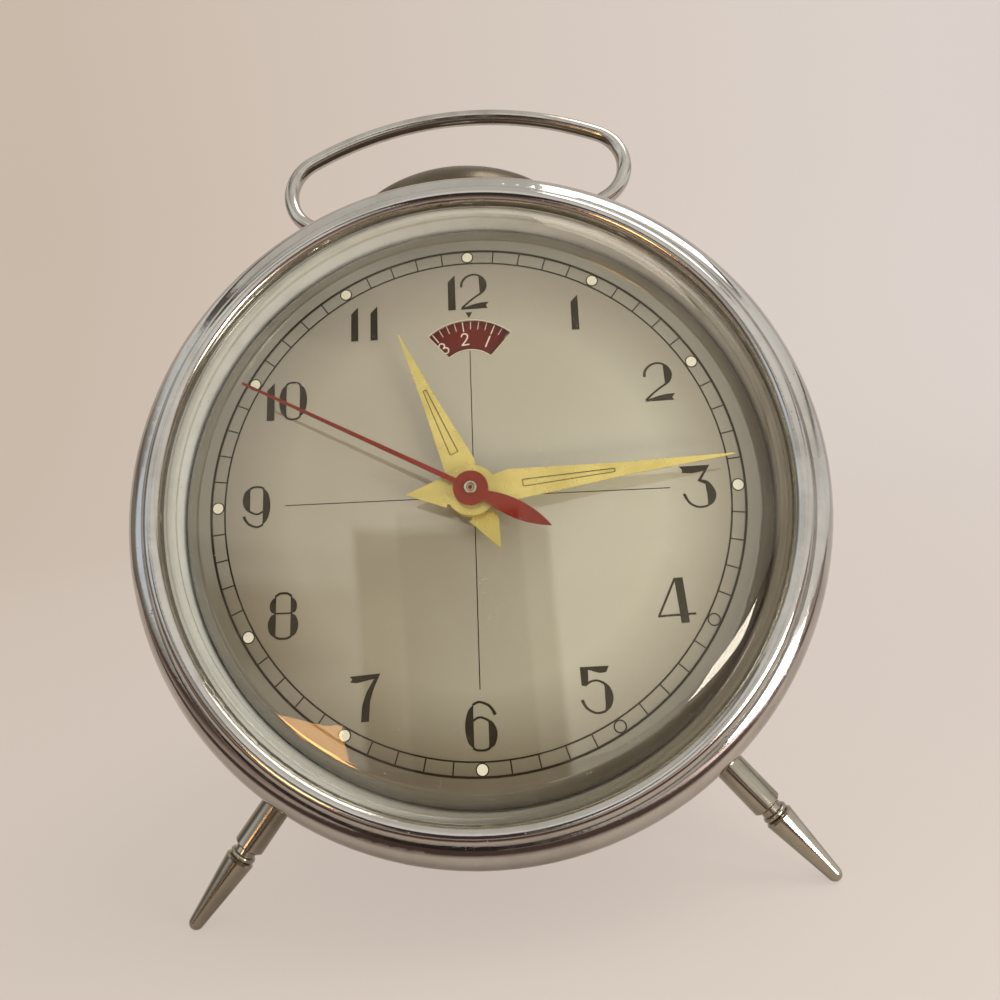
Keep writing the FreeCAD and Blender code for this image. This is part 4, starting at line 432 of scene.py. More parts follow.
def cap(x, y, level):
    """Thin curve that joins the two sides of a numeral at its top or foot."""
    return even([(-x, y), (-0.08, level), (0.08, level), (x, y)])


def mirrored(loop):
    return [(-x, y) for x, y in loop][::-1]


def half_turned(loop):
    return [(-x, 1 - y) for x, y in loop]


def bowl(points, inner):
    """Thick side of a numeral: smooth outer edge through the points, straight inner edge."""
    return smooth(points) + list(inner)


ZERO_SIDE = bowl([(-0.15, 0.95), (-0.30, 0.80), (-0.36, 0.5), (-0.30, 0.20), (-0.15, 0.05)],
                 [(-0.17, 0.20), (-0.17, 0.80)])
EIGHT_SIDES = [
    bowl([(-0.15, 0.93), (-0.27, 0.82), (-0.30, 0.69), (-0.26, 0.585), (-0.16, 0.55)],
         [(-0.16, 0.60), (-0.16, 0.88)]),
    bowl([(-0.16, 0.56), (-0.27, 0.50), (-0.335, 0.32), (-0.28, 0.12), (-0.15, 0.04)],
         [(-0.16, 0.10), (-0.16, 0.50)]),
]
SIX = [
    bowl([(-0.14, 0.95), (-0.27, 0.80), (-0.335, 0.50), (-0.28, 0.19), (-0.14, 0.04)],
         [(-0.155, 0.15), (-0.155, 0.85)]),
    stroke([(-0.17, 0.93, 0.05), (-0.08, 0.975, 0.05), (0.0, 0.985, 0.05), (0.16, 0.92, 0.055),
            (0.25, 0.82, 0.06), (0.30, 0.72, 0.075)]),
    stroke([(-0.16, 0.61, 0.045), (-0.08, 0.665, 0.045), (0.02, 0.675, 0.045), (0.16, 0.61, 0.05)]),
    bowl([(0.13, 0.65), (0.26, 0.56), (0.335, 0.36), (0.28, 0.13), (0.14, 0.04)],
         [(0.155, 0.14), (0.155, 0.55)]),
    cap(0.18, 0.07, 0.025),
]
NUMERALS = {
    "0": [ZERO_SIDE, mirrored(ZERO_SIDE), cap(0.19, 0.92, 0.98), cap(0.19, 0.08, 0.02)],
    "1": [[(-0.10, 0.0), (0.10, 0.0), (0.09, 1.0), (-0.10, 0.80)]],
    "2": [
        stroke([(-0.35, 0.64, 0.07), (-0.32, 0.80, 0.06), (-0.20, 0.93, 0.055), (-0.03, 0.985, 0.05),
                (0.10, 0.96, 0.05), (0.16, 0.92, 0.05)]),
        bowl([(0.10, 0.98), (0.24, 0.90), (0.33, 0.70), (0.28, 0.51), (0.13, 0.38)],
             [(0.14, 0.48), (0.12, 0.90)]),
        stroke([(0.17, 0.44, 0.055), (0.0, 0.33, 0.05), (-0.17, 0.20, 0.05), (-0.35, 0.035, 0.06)]),
        [(-0.38, 0.0), (0.34, 0.015), (0.29, 0.085), (0.37, 0.19), (0.15, 0.175), (-0.05, 0.135),
         (-0.33, 0.045)],
    ],
    "3": [
        [(-0.40, 0.99), (0.31, 1.0), (0.21, 0.87), (-0.12, 0.815), (-0.34, 0.835), (-0.33, 0.91)],
        [(0.31, 1.0), (0.22, 0.95), (0.0, 0.63), (0.06, 0.61)],
        [(0.0, 0.64), (0.10, 0.665), (0.17, 0.62), (0.17, 0.55), (0.06, 0.60)],
        bowl([(0.08, 0.665), (0.26, 0.60), (0.405, 0.34), (0.34, 0.12), (0.20, 0.03)],
             [(0.20, 0.30), (0.17, 0.60)]),
        stroke([(0.23, 0.06, 0.05), (0.10, 0.02, 0.05), (-0.06, 0.03, 0.05), (-0.22, 0.13, 0.055),
                (-0.33, 0.34, 0.07)]),
    ],
    "4": [
        [(-0.02, 0.99), (0.167, 1.0), (0.25, 0.01), (0.07, 0.0)],
        even([(0.0, 0.99), (-0.40, 0.175)], soften=False),
        even([(-0.425, 0.165), (0.40, 0.20)], soften=False),
    ],
    "5": [
        [(-0.345, 0.99), (0.285, 1.0), (0.22, 0.865), (0.08, 0.85), (-0.17, 0.925), (-0.175, 0.66),
         (-0.22, 0.58), (-0.325, 0.60)],
        stroke([(-0.25, 0.595, 0.05), (-0.13, 0.675, 0.045), (0.02, 0.695, 0.045), (0.17, 0.63, 0.05)]),
        bowl([(0.12, 0.68), (0.27, 0.57), (0.345, 0.35), (0.28, 0.13), (0.14, 0.03)],
             [(0.165, 0.15), (0.165, 0.57)]),
        stroke([(0.18, 0.06, 0.05), (0.05, 0.02, 0.05), (-0.08, 0.03, 0.05), (-0.24, 0.13, 0.055),
                (-0.33, 0.30, 0.07)]),
    ],
    "6": SIX,
    "7": [
        [(-0.33, 0.95), (0.335, 1.0), (0.26, 0.90), (0.10, 0.87), (-0.18, 0.81), (-0.32, 0.83),
         (-0.27, 0.89)],
        [(0.335, 1.0), (0.19, 0.69), (0.11, 0.42), (0.085, 0.01), (-0.085, 0.0), (-0.06, 0.34),
         (0.03, 0.61), (0.22, 0.93)],
    ],
    "8": EIGHT_SIDES + [mirrored(loop) for loop in EIGHT_SIDES] + [
        cap(0.18, 0.915, 0.98), even([(-0.2, 0.555), (0.2, 0.555)], 0.035, False), cap(0.18, 0.065, 0.02),
    ],
    "9": [half_turned(loop) for loop in SIX],
}
NUMERAL_HEIGHTS = (6.75, 7.15, 7.4, 7.6, 7.6, 7.9, 7.8, 7.9, 7.4, 7.1, 6.6, 6.9)   # from 1 to 12, in mm
PAIR_OFFSETS = {10: (-0.42, 0.15), 11: (-0.27, 0.27), 12: (-0.44, 0.165)}          # in digit heights


# Centre lines of the thin digits on the alarm disc, one digit high
SIX_LINES = [[(0.18, 0.96), (-0.12, 0.72), (-0.26, 0.34), (-0.12, 0.04), (0.14, 0.03), (0.26, 0.27),
              (0.12, 0.52), (-0.12, 0.48), (-0.24, 0.3)]]
THIN_DIGITS = {
    "0": [[(0.0, 1.0), (0.24, 0.8), (0.28, 0.5), (0.24, 0.2), (0.0, 0.0)],
          [(0.0, 1.0), (-0.24, 0.8), (-0.28, 0.5), (-0.24, 0.2), (0.0, 0.0)]],
    "1": [[(0.0, 1.0), (0.0, 0.0)]],
    "2": [[(-0.26, 0.76), (-0.12, 0.96), (0.12, 0.96), (0.25, 0.74), (0.08, 0.42), (-0.28, 0.05)],
          [(-0.32, 0.05), (0.3, 0.05)]],
    "3": [[(-0.24, 0.84), (0.0, 0.98), (0.22, 0.8), (0.14, 0.58), (-0.04, 0.53)],
          [(-0.04, 0.53), (0.18, 0.46), (0.27, 0.24), (0.06, 0.02), (-0.26, 0.14)]],
    "4": [[(0.12, 0.0), (0.12, 1.0)], [(0.12, 1.0), (-0.28, 0.28)], [(-0.28, 0.28), (0.3, 0.28)]],
    "5": [[(0.24, 0.96), (-0.2, 0.96)], [(-0.2, 0.96), (-0.23, 0.56)],
          [(-0.23, 0.56), (0.05, 0.62), (0.26, 0.36), (0.08, 0.04), (-0.25, 0.1)]],
    "6": SIX_LINES,
    "7": [[(-0.26, 0.96), (0.28, 0.96)], [(0.28, 0.96), (-0.06, 0.0)]],
    "8": [[(0.0, 0.54), (side * wide, low), (side * wide, high), (0.0, end)]
          for wide, low, high, end in ((0.2, 0.66, 0.88, 1.0), (0.26, 0.4, 0.14, 0.0)) for side in (-1, 1)],
    "9": [half_turned(line) for line in SIX_LINES],
}

# Other prints, in mm
LOOP_STEP = 0.0004                  # from each loop of a print up to the next
INNER_RING_LINE, OUTER_RING_LINE, MINUTE_LINE, CROSS_LINE = 0.28, 0.4, 0.24, 0.16
DOT_RADIUS, DOT_LIFT = 0.9, PRINT_LIFT + 0.05
DOT_EDGE_RADIUS, DOT_EDGE_LINE, DOT_EDGE_LIFT = 0.98, 0.24, PRINT_LIFT + 0.02
WINDOW_INNER, WINDOW_OUTER, WINDOW_LINE = 5.7, 11.42, 0.12
WINDOW_HALF_ANGLE = 41.3            # in degrees
DISC_SCALE, DISC_NUMBERS = 11.9, 8.1    # radii of the alarm disc's marks and of its numbers
DISC_DIGIT, DISC_LINE = 2.3, 0.11   # height of those numbers, and their lines in digit heights
DISC_PAIR = (-0.35, 0.25)           # offsets of two digits, in digit heights

# Sunk panels of the hands: start, end, half width at each, in mm from the centre
HOUR_PANEL = (7.5, 20.0, 0.75, 0.3)
MINUTE_PANEL = (8.6, 24.0, 0.6, 0.3)
HOUR_FACE, MINUTE_FACE = 3.81, 5.61     # levels just over the hands' faces
# Width of the lines of painted shade along the panels' edges, in mm
PANEL_LINE = 0.14

# Rolled eyelet that holds the seconds hand, as (radius, level), and the radius and level of the painted shade in
# its hole
RIVET = ((1.14, 7.42), (1.14, 7.72), (1.04, 7.9), (0.86, 7.96), (0.68, 7.92), (0.6, 7.8), (0.6, 7.42))
RIVET_HOLE_SHADE, RIVET_HOLE_SHADE_LEVEL = 0.34, 7.92


def flat_object(name, loops, z, matrix=CLOCK):
    """Mesh of flat loops, each loop a face, a hair apart in height so that none lies in another."""
    mesh = bmesh.new()
    for number, loop in enumerate(loops):
        height = z + number * LOOP_STEP
        verts = [mesh.verts.new(matrix @ Vector((x, y, height))) for x, y in loop]
        edges = [mesh.edges.new((verts[i], verts[(i + 1) % len(verts)])) for i in range(len(verts))]
        bmesh.ops.triangle_fill(mesh, use_beauty=True, use_dissolve=False, edges=edges)
    return meshed(name, mesh)


def logic(tree, operation, first, second):
    """Result of a boolean node on two sockets."""
    return node(tree, "FunctionNodeBooleanMath", {"operation": operation}, i0=first, i1=second).outputs[0]


def round_group():
    """Geometry Nodes: a small flat shape copied evenly round a circle, on the chosen places only."""
    name = "round_a_circle"
    if name in bpy.data.node_groups:
        return bpy.data.node_groups[name]
    tree = bpy.data.node_groups.new(name, "GeometryNodeTree")
    for label, kind in (("Shape", "Geometry"), ("Places", "Int"), ("Radius", "Float"), ("Every", "Int"),
                        ("Leave these out", "Bool"), ("Lost from", "Int"), ("Lost to", "Int"),
                        ("Material", "Material")):
        tree.interface.new_socket(label, in_out="INPUT", socket_type="NodeSocket" + kind)
    tree.interface.new_socket("Print", in_out="OUTPUT", socket_type="NodeSocketGeometry")
    wanted = tree.nodes.new("NodeGroupInput").outputs
    number = node(tree, "GeometryNodeInputIndex").outputs[0]
    places = node(tree, "GeometryNodeMeshCircle", Vertices=wanted["Places"], Radius=wanted["Radius"])
    counted = maths(tree, "LESS_THAN", maths(tree, "MODULO", number, wanted["Every"]), 0.5)
    after, before = (
        node(tree, "FunctionNodeCompare", {"data_type": "INT", "operation": operation}, i2=number,
             i3=wanted[limit]).outputs[0]
        for operation, limit in (("GREATER_EQUAL", "Lost from"), ("LESS_THAN", "Lost to")))
    kept = logic(tree, "NIMPLY", logic(tree, "XOR", counted, wanted["Leave these out"]),
                 logic(tree, "AND", after, before))
    turn = maths(tree, "MULTIPLY", number, maths(tree, "DIVIDE", math.tau, wanted["Places"]))
    rotation = node(tree, "ShaderNodeCombineXYZ", Z=turn)
    copies = node(tree, "GeometryNodeInstanceOnPoints", Points=places.outputs["Mesh"],
                  Selection=kept, Instance=wanted["Shape"], Rotation=rotation.outputs[0])
    solid = node(tree, "GeometryNodeRealizeInstances", Geometry=copies.outputs[0])
    inked = node(tree, "GeometryNodeSetMaterial", Geometry=solid.outputs[0], Material=wanted["Material"])
    node(tree, "NodeGroupOutput", Print=inked.outputs[0])
    return tree


def print_round(name, loops, material, places, radius, every=1, leave_out=False, centre=(0.0, 0.0),
                lift=PRINT_LIFT, turn=0.0, lost=(0, 0)):
    """Flat print of one small shape, which points outwards along x, repeated round a centre of the dial."""
    shape = flat_object(name + "_shape", loops, 0.0, Matrix.Identity(4))
    modifier = shape.modifiers.new("round", "NODES")
    modifier.node_group = round_group()
    values = {"Places": places, "Radius": radius, "Every": every, "Leave these out": leave_out,
              "Lost from": lost[0], "Lost to": lost[1], "Material": material}
    for item in modifier.node_group.interface.items_tree:
        if item.in_out == "INPUT" and item.name in values:
            modifier[item.identifier] = values[item.name]
    bpy.context.view_layer.update()
    seen = shape.evaluated_get(bpy.context.evaluated_depsgraph_get())
    data = bpy.data.meshes.new_from_object(seen)
    shape.modifiers.clear()
    bpy.data.objects.remove(shape)
    data.name = name
    data.transform(CLOCK @ Matrix.Translation((*centre, lift)) @ Matrix.Rotation(turn, 4, "Z"))
    return linked(name, data)


def circle(radius, steps):
    return arc(radius, 0.0, 360.0 * (steps - 1) / steps, steps - 1)


def ring_strips(radius, width, start=0.0, end=360.0, cy=0.0, steps=120):
    """Thin ring as short four-sided strips."""
    strips = []
    for i in range(steps):
        a = start + (end - start) * i / steps
        b = start + (end - start) * (i + 1) / steps
        strips.append(arc(radius + width / 2, a, b, 1, cy) + arc(radius - width / 2, b, a, 1, cy))
    return strips


def bar(p, q, width):
    return even([p, q], width, False)


def build_numerals(settings):
    loops = []
    for hour, height in enumerate(NUMERAL_HEIGHTS, 1):
        a = math.radians(hour * 30.0)
        x, y = settings.numeral_radius * math.sin(a), settings.numeral_radius * math.cos(a)
        for digit, offset in zip(str(hour), PAIR_OFFSETS.get(hour, (0.0,))):
            for loop in NUMERALS[digit]:
                loops.append([(x + (u + offset) * height, y + (v - 0.5) * height) for u, v in loop])
    return flat_object("dial_numerals", loops, PRINT_LIFT)


def build_track(settings):
    """The two rings of the minute track."""
    loops = ring_strips(settings.track_inner, INNER_RING_LINE)
    return flat_object("minute_track", loops + ring_strips(settings.track_outer, OUTER_RING_LINE), PRINT_LIFT)


def build_minutes(settings, ink):
    """A bar at every minute between the rings, but none at the hours."""
    outer = settings.track_outer
    mark = bar((settings.track_inner - outer, 0.0), (0.0, 0.0), MINUTE_LINE)
    return print_round("minute_bars", [mark], ink, 60, outer, 5, True)


def build_hour_dots(settings, ink, pale):
    """A pale dot at each hour with a fine dark edge: at 4 and 5 the pale paint is gone."""
    middle = (settings.track_inner + settings.track_outer) / 2
    edge = ring_strips(DOT_EDGE_RADIUS, DOT_EDGE_LINE, steps=24)
    return (print_round("dot_edges", edge, ink, 12, middle, lift=DOT_EDGE_LIFT),
            print_round("hour_dots", [circle(DOT_RADIUS, 28)], pale, 12, middle, lift=DOT_LIFT,
                        lost=(10, 12)))


def build_cross():
    """Thin cross lines, with a gap under the window, and the pointer over it."""
    lines = (((-33.2, 0.0), (-4.6, 0.0)), ((4.6, 0.0), (33.6, 0.0)), ((0.0, -4.6), (0.0, -32.5)),
             ((0.0, 4.0), (0.0, ALARM_Y + 5.4)))
    pointer = [(-0.62, ALARM_Y + 12.9), (0.62, ALARM_Y + 12.9), (0.0, ALARM_Y + 11.75)]
    return flat_object("dial_lines", [bar(p, q, CROSS_LINE) for p, q in lines] + [pointer], PRINT_LIFT)


def build_panel_lines(name, clock_degrees, panel, z):
    """Painted shade along the edges of the sunk panel down a hand."""
    start, end, near, far = panel
    loops = [bar((side * near, start), (side * far, end), PANEL_LINE) for side in (-1, 1)]
    loops += [bar((-near, start), (near, start), PANEL_LINE), bar((-far, end), (far, end), PANEL_LINE)]
    turn = Matrix.Rotation(-math.radians(clock_degrees), 4, "Z")
    return flat_object(name, loops, z, CLOCK @ turn)


def lathed(name, section, steps):
    """Closed section of (radius, height) turned about the hands' axis, smooth but for its corners."""
    mesh = bmesh.new()
    rings = []
    for radius, z in section:
        count = steps if radius > 0.0 else 1
        angles = [math.tau * i / steps for i in range(count)]
        rings.append([mesh.verts.new(CLOCK @ Vector((radius * math.cos(a), radius * math.sin(a), z)))
                      for a in angles])
    for ring, after in zip(rings, rings[1:] + rings[:1]):
        if len(ring) == len(after) == 1:
            continue
        for i in range(steps):
            j = (i + 1) % steps
            corners = [ring[i % len(ring)], ring[j % len(ring)], after[j % len(after)], after[i % len(after)]]
            mesh.faces.new(list(dict.fromkeys(corners))).smooth = True
    made = meshed(name, mesh)
    made.data.set_sharp_from_angle(angle=SHARP_FROM)
    return made


def dome_curve(inset, steps=16):
    """Side view of a face of the crystal from its middle to its brim, inset from the outer face."""
    crown = GLASS_TOP - GLASS_SEAT - GLASS_BRIM_RISE
    big = (GLASS_SHOULDER ** 2 + crown ** 2) / (2 * crown)
    slope = math.asin(GLASS_SHOULDER / big)
    run = GLASS_BRIM - GLASS_SHOULDER
    rise = GLASS_BRIM_RISE
    bend = (run * run + rise * rise) / (2 * (rise * math.cos(slope) - run * math.sin(slope)))
    cx = GLASS_SHOULDER - bend * math.sin(slope)
    cz = GLASS_SEAT + rise - bend * math.cos(slope)
    first = math.pi / 2 - slope
    last = math.asin((GLASS_SEAT - inset - cz) / (bend - inset))
    points = []
    for i in range(steps):
        a = slope * i / steps
        points.append(((big - inset) * math.sin(a), GLASS_TOP - big + (big - inset) * math.cos(a)))
    for i in range(steps + 1):
        a = first + (last - first) * i / steps
        points.append((cx + (bend - inset) * math.cos(a), cz + (bend - inset) * math.sin(a)))
    return points


def glass_section():
    outer, inner = dome_curve(0.0), dome_curve(GLASS_THICKNESS)
    return outer + [(GLASS_EDGE, GLASS_SEAT), (GLASS_EDGE, GLASS_SEAT - GLASS_THICKNESS)] + inner[::-1]


def build_window_edge():
    """Pale line round the alarm window."""
    low, high = 90.0 - WINDOW_HALF_ANGLE, 90.0 + WINDOW_HALF_ANGLE
    loops = []
    for radius, steps in ((WINDOW_OUTER, 30), (WINDOW_INNER, 20)):
        loops += ring_strips(radius, WINDOW_LINE, low, high, cy=ALARM_Y, steps=steps)
    for angle in (low, high):
        ends = [arc(radius, angle, angle, 1, ALARM_Y)[0]
                for radius in (WINDOW_INNER - WINDOW_LINE / 2, WINDOW_OUTER + WINDOW_LINE / 2)]
        loops.append(bar(*ends, WINDOW_LINE))
    return flat_object("window_edge", loops, PRINT_LIFT)


def build_alarm_marks(settings, white):
    """Marks of the alarm disc: a long one at each hour and three short ones between."""
    turn = math.radians(90.0 - settings.alarm_hour * 30.0)
    return [print_round(name, [bar((-length, 0.0), (0.0, 0.0), width)], white, 48, DISC_SCALE, 4, between,
                        (0.0, ALARM_Y), DISC_FACE + PRINT_LIFT, turn)
            for name, length, width, between in (("alarm_hour_marks", 2.3, 0.2, False),
                                                 ("alarm_quarter_marks", 1.9, 0.13, True))]


def build_alarm_numbers(settings):
    """White numbers of the alarm disc."""
    loops = []
    for hour in range(1, 13):
        turn = math.radians((hour - settings.alarm_hour) * 30.0)
        for digit, offset in zip(str(hour), DISC_PAIR if hour > 9 else (0.0,)):
            for line in THIN_DIGITS[digit]:
                placed = []
                for u, v in even(line, DISC_LINE, len(line) > 2):
                    x, y = (u + offset) * DISC_DIGIT, DISC_NUMBERS + (v - 0.5) * DISC_DIGIT
                    placed.append((x * math.cos(turn) - y * math.sin(turn),
                                   ALARM_Y + x * math.sin(turn) + y * math.cos(turn)))
                loops.append(placed)
    return flat_object("alarm_disc_numbers", loops, DISC_FACE + PRINT_LIFT)


# Settings of the add-on
class ClockSettings(bpy.types.PropertyGroup):
    """Sizes of the printed dial and strengths of the studio lights."""

    numeral_radius: bpy.props.FloatProperty(
        name="Numeral radius", description="Radius of the numerals' centres, in millimetres", default=38.3)
    track_inner: bpy.props.FloatProperty(
        name="Track inner radius", description="Inner ring of the minute track, in millimetres", default=43.9)
    track_outer: bpy.props.FloatProperty(
        name="Track outer radius", description="Outer ring of the minute track, in millimetres", default=46.3)
    hour_shown: bpy.props.FloatProperty(
        name="Hour shown", description="Time on the dial, in hours", default=11.235)
    alarm_hour: bpy.props.FloatProperty(
        name="Alarm hour", description="Hour that the alarm disc shows at its pointer", default=1.78)
    key_watts: bpy.props.FloatProperty(
        name="Low softbox", description="Power of the low light at the right", default=1.5, unit="POWER")
    warm_watts: bpy.props.FloatProperty(
        name="Warm lamp", description="Power of the small warm lamp at the left", default=0.24, unit="POWER")
    panel_watts: bpy.props.FloatProperty(
        name="Brim panel", description="Power of the small panel mirrored in the glass's brim", default=0.16,
        unit="POWER")
    top_watts: bpy.props.FloatProperty(
        name="Top softbox", description="Power of the light overhead", default=2.5, unit="POWER")
    sky_colour: bpy.props.FloatVectorProperty(
        name="Sky", description="Colour of the even soft light", default=(0.70, 0.68, 0.65), subtype="COLOR")
    paper_left: bpy.props.FloatVectorProperty(
        name="Paper at the left", description="Colour of the floor and backdrop at the left",
        default=(0.64, 0.54, 0.45), subtype="COLOR")
    paper_right: bpy.props.FloatVectorProperty(
        name="Paper at the right", description="Colour of the floor and backdrop at the right",
        default=(0.75, 0.685, 0.645), subtype="COLOR")
    lens: bpy.props.FloatProperty(
        name="Lens", description="Focal length of the camera on a 36 mm sensor", default=28.8, unit="CAMERA")


def paint(material, *names):
    """Give CAD pieces one material, and leave their meshes alone."""
    for name in names:
        mesh = frame["nodes"][name].data
        mesh.materials.clear()
        mesh.materials.append(material)
        for polygon in mesh.polygons:
            polygon.material_index = 0


def own(piece, body, material=None):
    """Give a made piece its material, if one is given, and the body it moves with."""
    if material:
        piece.data.materials.append(material)
    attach(piece, body)


class CLOCK_OT_case(bpy.types.Operator):
    """Paint the chromed case, its handle, bell and legs"""

    bl_idname = "clock.case"
    bl_label = "Case"

    def execute(self, context):
        paint(metal_material("case_chrome"), "case_drum", "bezel", "handle_fittings", "bell_nuts",
              "bell_post")
        paint(metal_material("handle_nickel"), "handle")
        paint(metal_material("leg_nickel"), "left_leg", "right_leg")
        paint(metal_material("bell_steel"), "bell")
        paint(metal_material("cover_nickel"), "back_cover")
        return {"FINISHED"}


class CLOCK_OT_glass(bpy.types.Operator):
    """Give the crystal its clear glass and the ring behind it its pale finish"""

    bl_idname = "clock.glass"
    bl_label = "Glass and ring"

    def execute(self, context):
        paint(ring_material(), "dial_ring")
        crystal = lathed("crystal", glass_section(), 160)
        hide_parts("glass")
        own(crystal, "case", glass_material())
        return {"FINISHED"}


class CLOCK_OT_dial(bpy.types.Operator):
    """Paint the dial and print its numerals, minute track, dots and lines"""

    bl_idname = "clock.dial"
    bl_label = "Dial"

    def execute(self, context):
        settings = context.scene.clock_settings
        paint(dial_material(), "dial")
        black = ink_material("dial_ink")
        for piece in (build_numerals(settings), build_track(settings), build_cross()):
            own(piece, "case", black)
        pale = ink_material("dot_paint")
        for piece in (build_minutes(settings, black), *build_hour_dots(settings, black, pale)):
            own(piece, "case")
        own(build_window_edge(), "case", ink_material("edge_paint"))
        return {"FINISHED"}


class CLOCK_OT_alarm(bpy.types.Operator):
    """Paint the red alarm disc and print its scale"""

    bl_idname = "clock.alarm"
    bl_label = "Alarm disc"

    def execute(self, context):
        settings = context.scene.clock_settings
        paint(paint_material("disc_red"), "alarm_disc")
        white = ink_material("disc_white")
        own(build_alarm_numbers(settings), "alarm_setting", white)
        for piece in build_alarm_marks(settings, white):
            own(piece, "alarm_setting")
        return {"FINISHED"}


class CLOCK_OT_hands(bpy.types.Operator):
    """Paint the gilt hands and the red seconds hand, with its rivet"""

    bl_idname = "clock.hands"
    bl_label = "Hands"

    def execute(self, context):
        paint(gilt_material(), "hour_hand", "minute_hand")
        # Painted shade along the edges of the hands' sunk panels
        panel_edge_shade = metal_material("gilt_shade")
        hours = context.scene.clock_settings.hour_shown
        own(build_panel_lines("hour_hand_lines", hours * 30.0, HOUR_PANEL, HOUR_FACE),
            "hour_hand_body", panel_edge_shade)
        own(build_panel_lines("minute_hand_lines", (hours % 1.0) * 360.0, MINUTE_PANEL, MINUTE_FACE),
            "minute_hand_body", panel_edge_shade)
        own(lathed("hand_rivet", RIVET, 32), "seconds", metal_material("rivet_nickel"))
        # A dark disc as painted shade in the rivet's hole
        own(flat_object("hand_rivet_hole", [circle(RIVET_HOLE_SHADE, 20)], RIVET_HOLE_SHADE_LEVEL),
            "seconds", ink_material("rivet_dark"))
        paint(paint_material("second_red"), "second_hand")
        return {"FINISHED"}


class CLOCK_OT_works(bpy.types.Operator):
    """Give the wheelwork its brass, steel and blued springs"""

    bl_idname = "clock.works"
    bl_label = "Wheelwork"

    def execute(self, context):
        slots = {s["node"]: s["material_slot"] for s in frame["record"]["subparts"]}
        for name, wanted in (("works_brass", ("brass",)), ("works_steel", ("steel",)),
                             ("works_blued", ("spring",)), ("knob_alloy", ("knob", "key"))):
            paint(metal_material(name), *[piece for piece, slot in slots.items() if slot in wanted])
        return {"FINISHED"}


# Lights: name, place, what it faces, width, height, the setting of its power, colour
MIDDLE, WHITE = (0.0, 0.0, 0.07), (1.0, 0.97, 0.93)
LIGHTS = (
    ("low_softbox", (0.46, -0.48, 0.08), MIDDLE, 0.30, 0.15, "key_watts", WHITE),
    ("brim_panel", (0.132, -0.142, 0.024), (0.0, -0.01, 0.05), 0.075, 0.034, "panel_watts", WHITE),
    ("warm_lamp", (-0.265, -0.56, 0.05), MIDDLE, 0.10, 0.08, "warm_watts", (1.0, 0.50, 0.16)),
    ("top_softbox", (0.42, 0.0, 0.95), MIDDLE, 0.5, 0.5, "top_watts", WHITE),
)
# The photograph's camera in the dial's axes: its place in mm, and its turns in degrees
CAMERA_PLACE = (10.858, -28.885, 134.950)
CAMERA_TURNS = (("Z", 2.654), ("Y", -2.672), ("X", -11.769))
PAPER_GLOW = 0.7        # share of the paper's colour that no shadow darkens


def build_lights(settings):
    for name, place, target, width, height, power, colour in LIGHTS:
        data = bpy.data.lights.new(name, "AREA")
        data.shape = "RECTANGLE"
        data.size, data.size_y = width, height
        data.energy = getattr(settings, power)
        data.color = colour
        lamp = linked(name, data)
        lamp.location = place
        lamp.rotation_euler = (Vector(target) - Vector(place)).to_track_quat("-Z", "Y").to_euler()
        lamp.visible_glossy = name != "low_softbox"


def build_camera(settings):
    """Camera where the photograph was taken from, found from the dial's own circle."""
    data = bpy.data.cameras.new("photo_camera")
    data.sensor_width = 36.0
    data.lens = settings.lens
    data.clip_start = 0.005
    camera = linked("photo_camera", data)
    tilt = Matrix.Identity(3)
    for axis, degrees in CAMERA_TURNS:
        tilt = tilt @ Matrix.Rotation(math.radians(degrees), 3, axis)
    look = (CLOCK.to_3x3() * (1 / MM)) @ tilt.transposed()
    camera.matrix_world = Matrix.Translation(CLOCK @ Vector(CAMERA_PLACE)) @ look.to_4x4()
    bpy.context.scene.camera = camera


def paper_material(settings):
    """Pale paper, darker and warmer at the left as a painted fall-off of the light, that keeps only a faint shadow
    and looks dim in the chrome.
    """
    material, tree, shader = new_material("studio_paper")
    place = node(tree, "ShaderNodeSeparateXYZ", Vector=object_place(tree)).outputs
    # Painted fall-off of the light across the paper: darker and warmer at the left, lighter at the right
    colour = blend_colour(tree, tuple(settings.paper_left), tuple(settings.paper_right),
                          fitted(tree, place["X"], -0.5, 0.5))
    rays = node(tree, "ShaderNodeLightPath").outputs
    ahead = colour_ramp(tree, fitted(tree, place["Y"], 0.0, -0.5), (
        (0.12, (0.62, 0.54, 0.47)), (0.15, (0.09, 0.06, 0.05)), (0.22, (0.09, 0.06, 0.05)),
        (0.27, (0.55, 0.45, 0.42)), (0.34, (0.42, 0.33, 0.30)), (0.9, (0.16, 0.11, 0.09))))
    feed(shader, Base_Color=blend_colour(tree, colour, ahead, rays["Is Glossy Ray"]), Roughness=1.0,
         Specular_IOR_Level=0.0)
    glow = node(tree, "ShaderNodeEmission", Color=colour, Strength=1.0)
    behind = maths(tree, "MULTIPLY", fitted(tree, place["Y"], -0.04, 0.0), rays["Is Glossy Ray"])
    share = maths(tree, "MULTIPLY", maths(tree, "MAXIMUM", rays["Is Camera Ray"], behind), PAPER_GLOW)
    mixed = node(tree, "ShaderNodeMixShader", i0=share, i1=shader.outputs[0], i2=glow.outputs[0])
    tree.links.new(mixed.outputs[0], surface(tree))
    return material


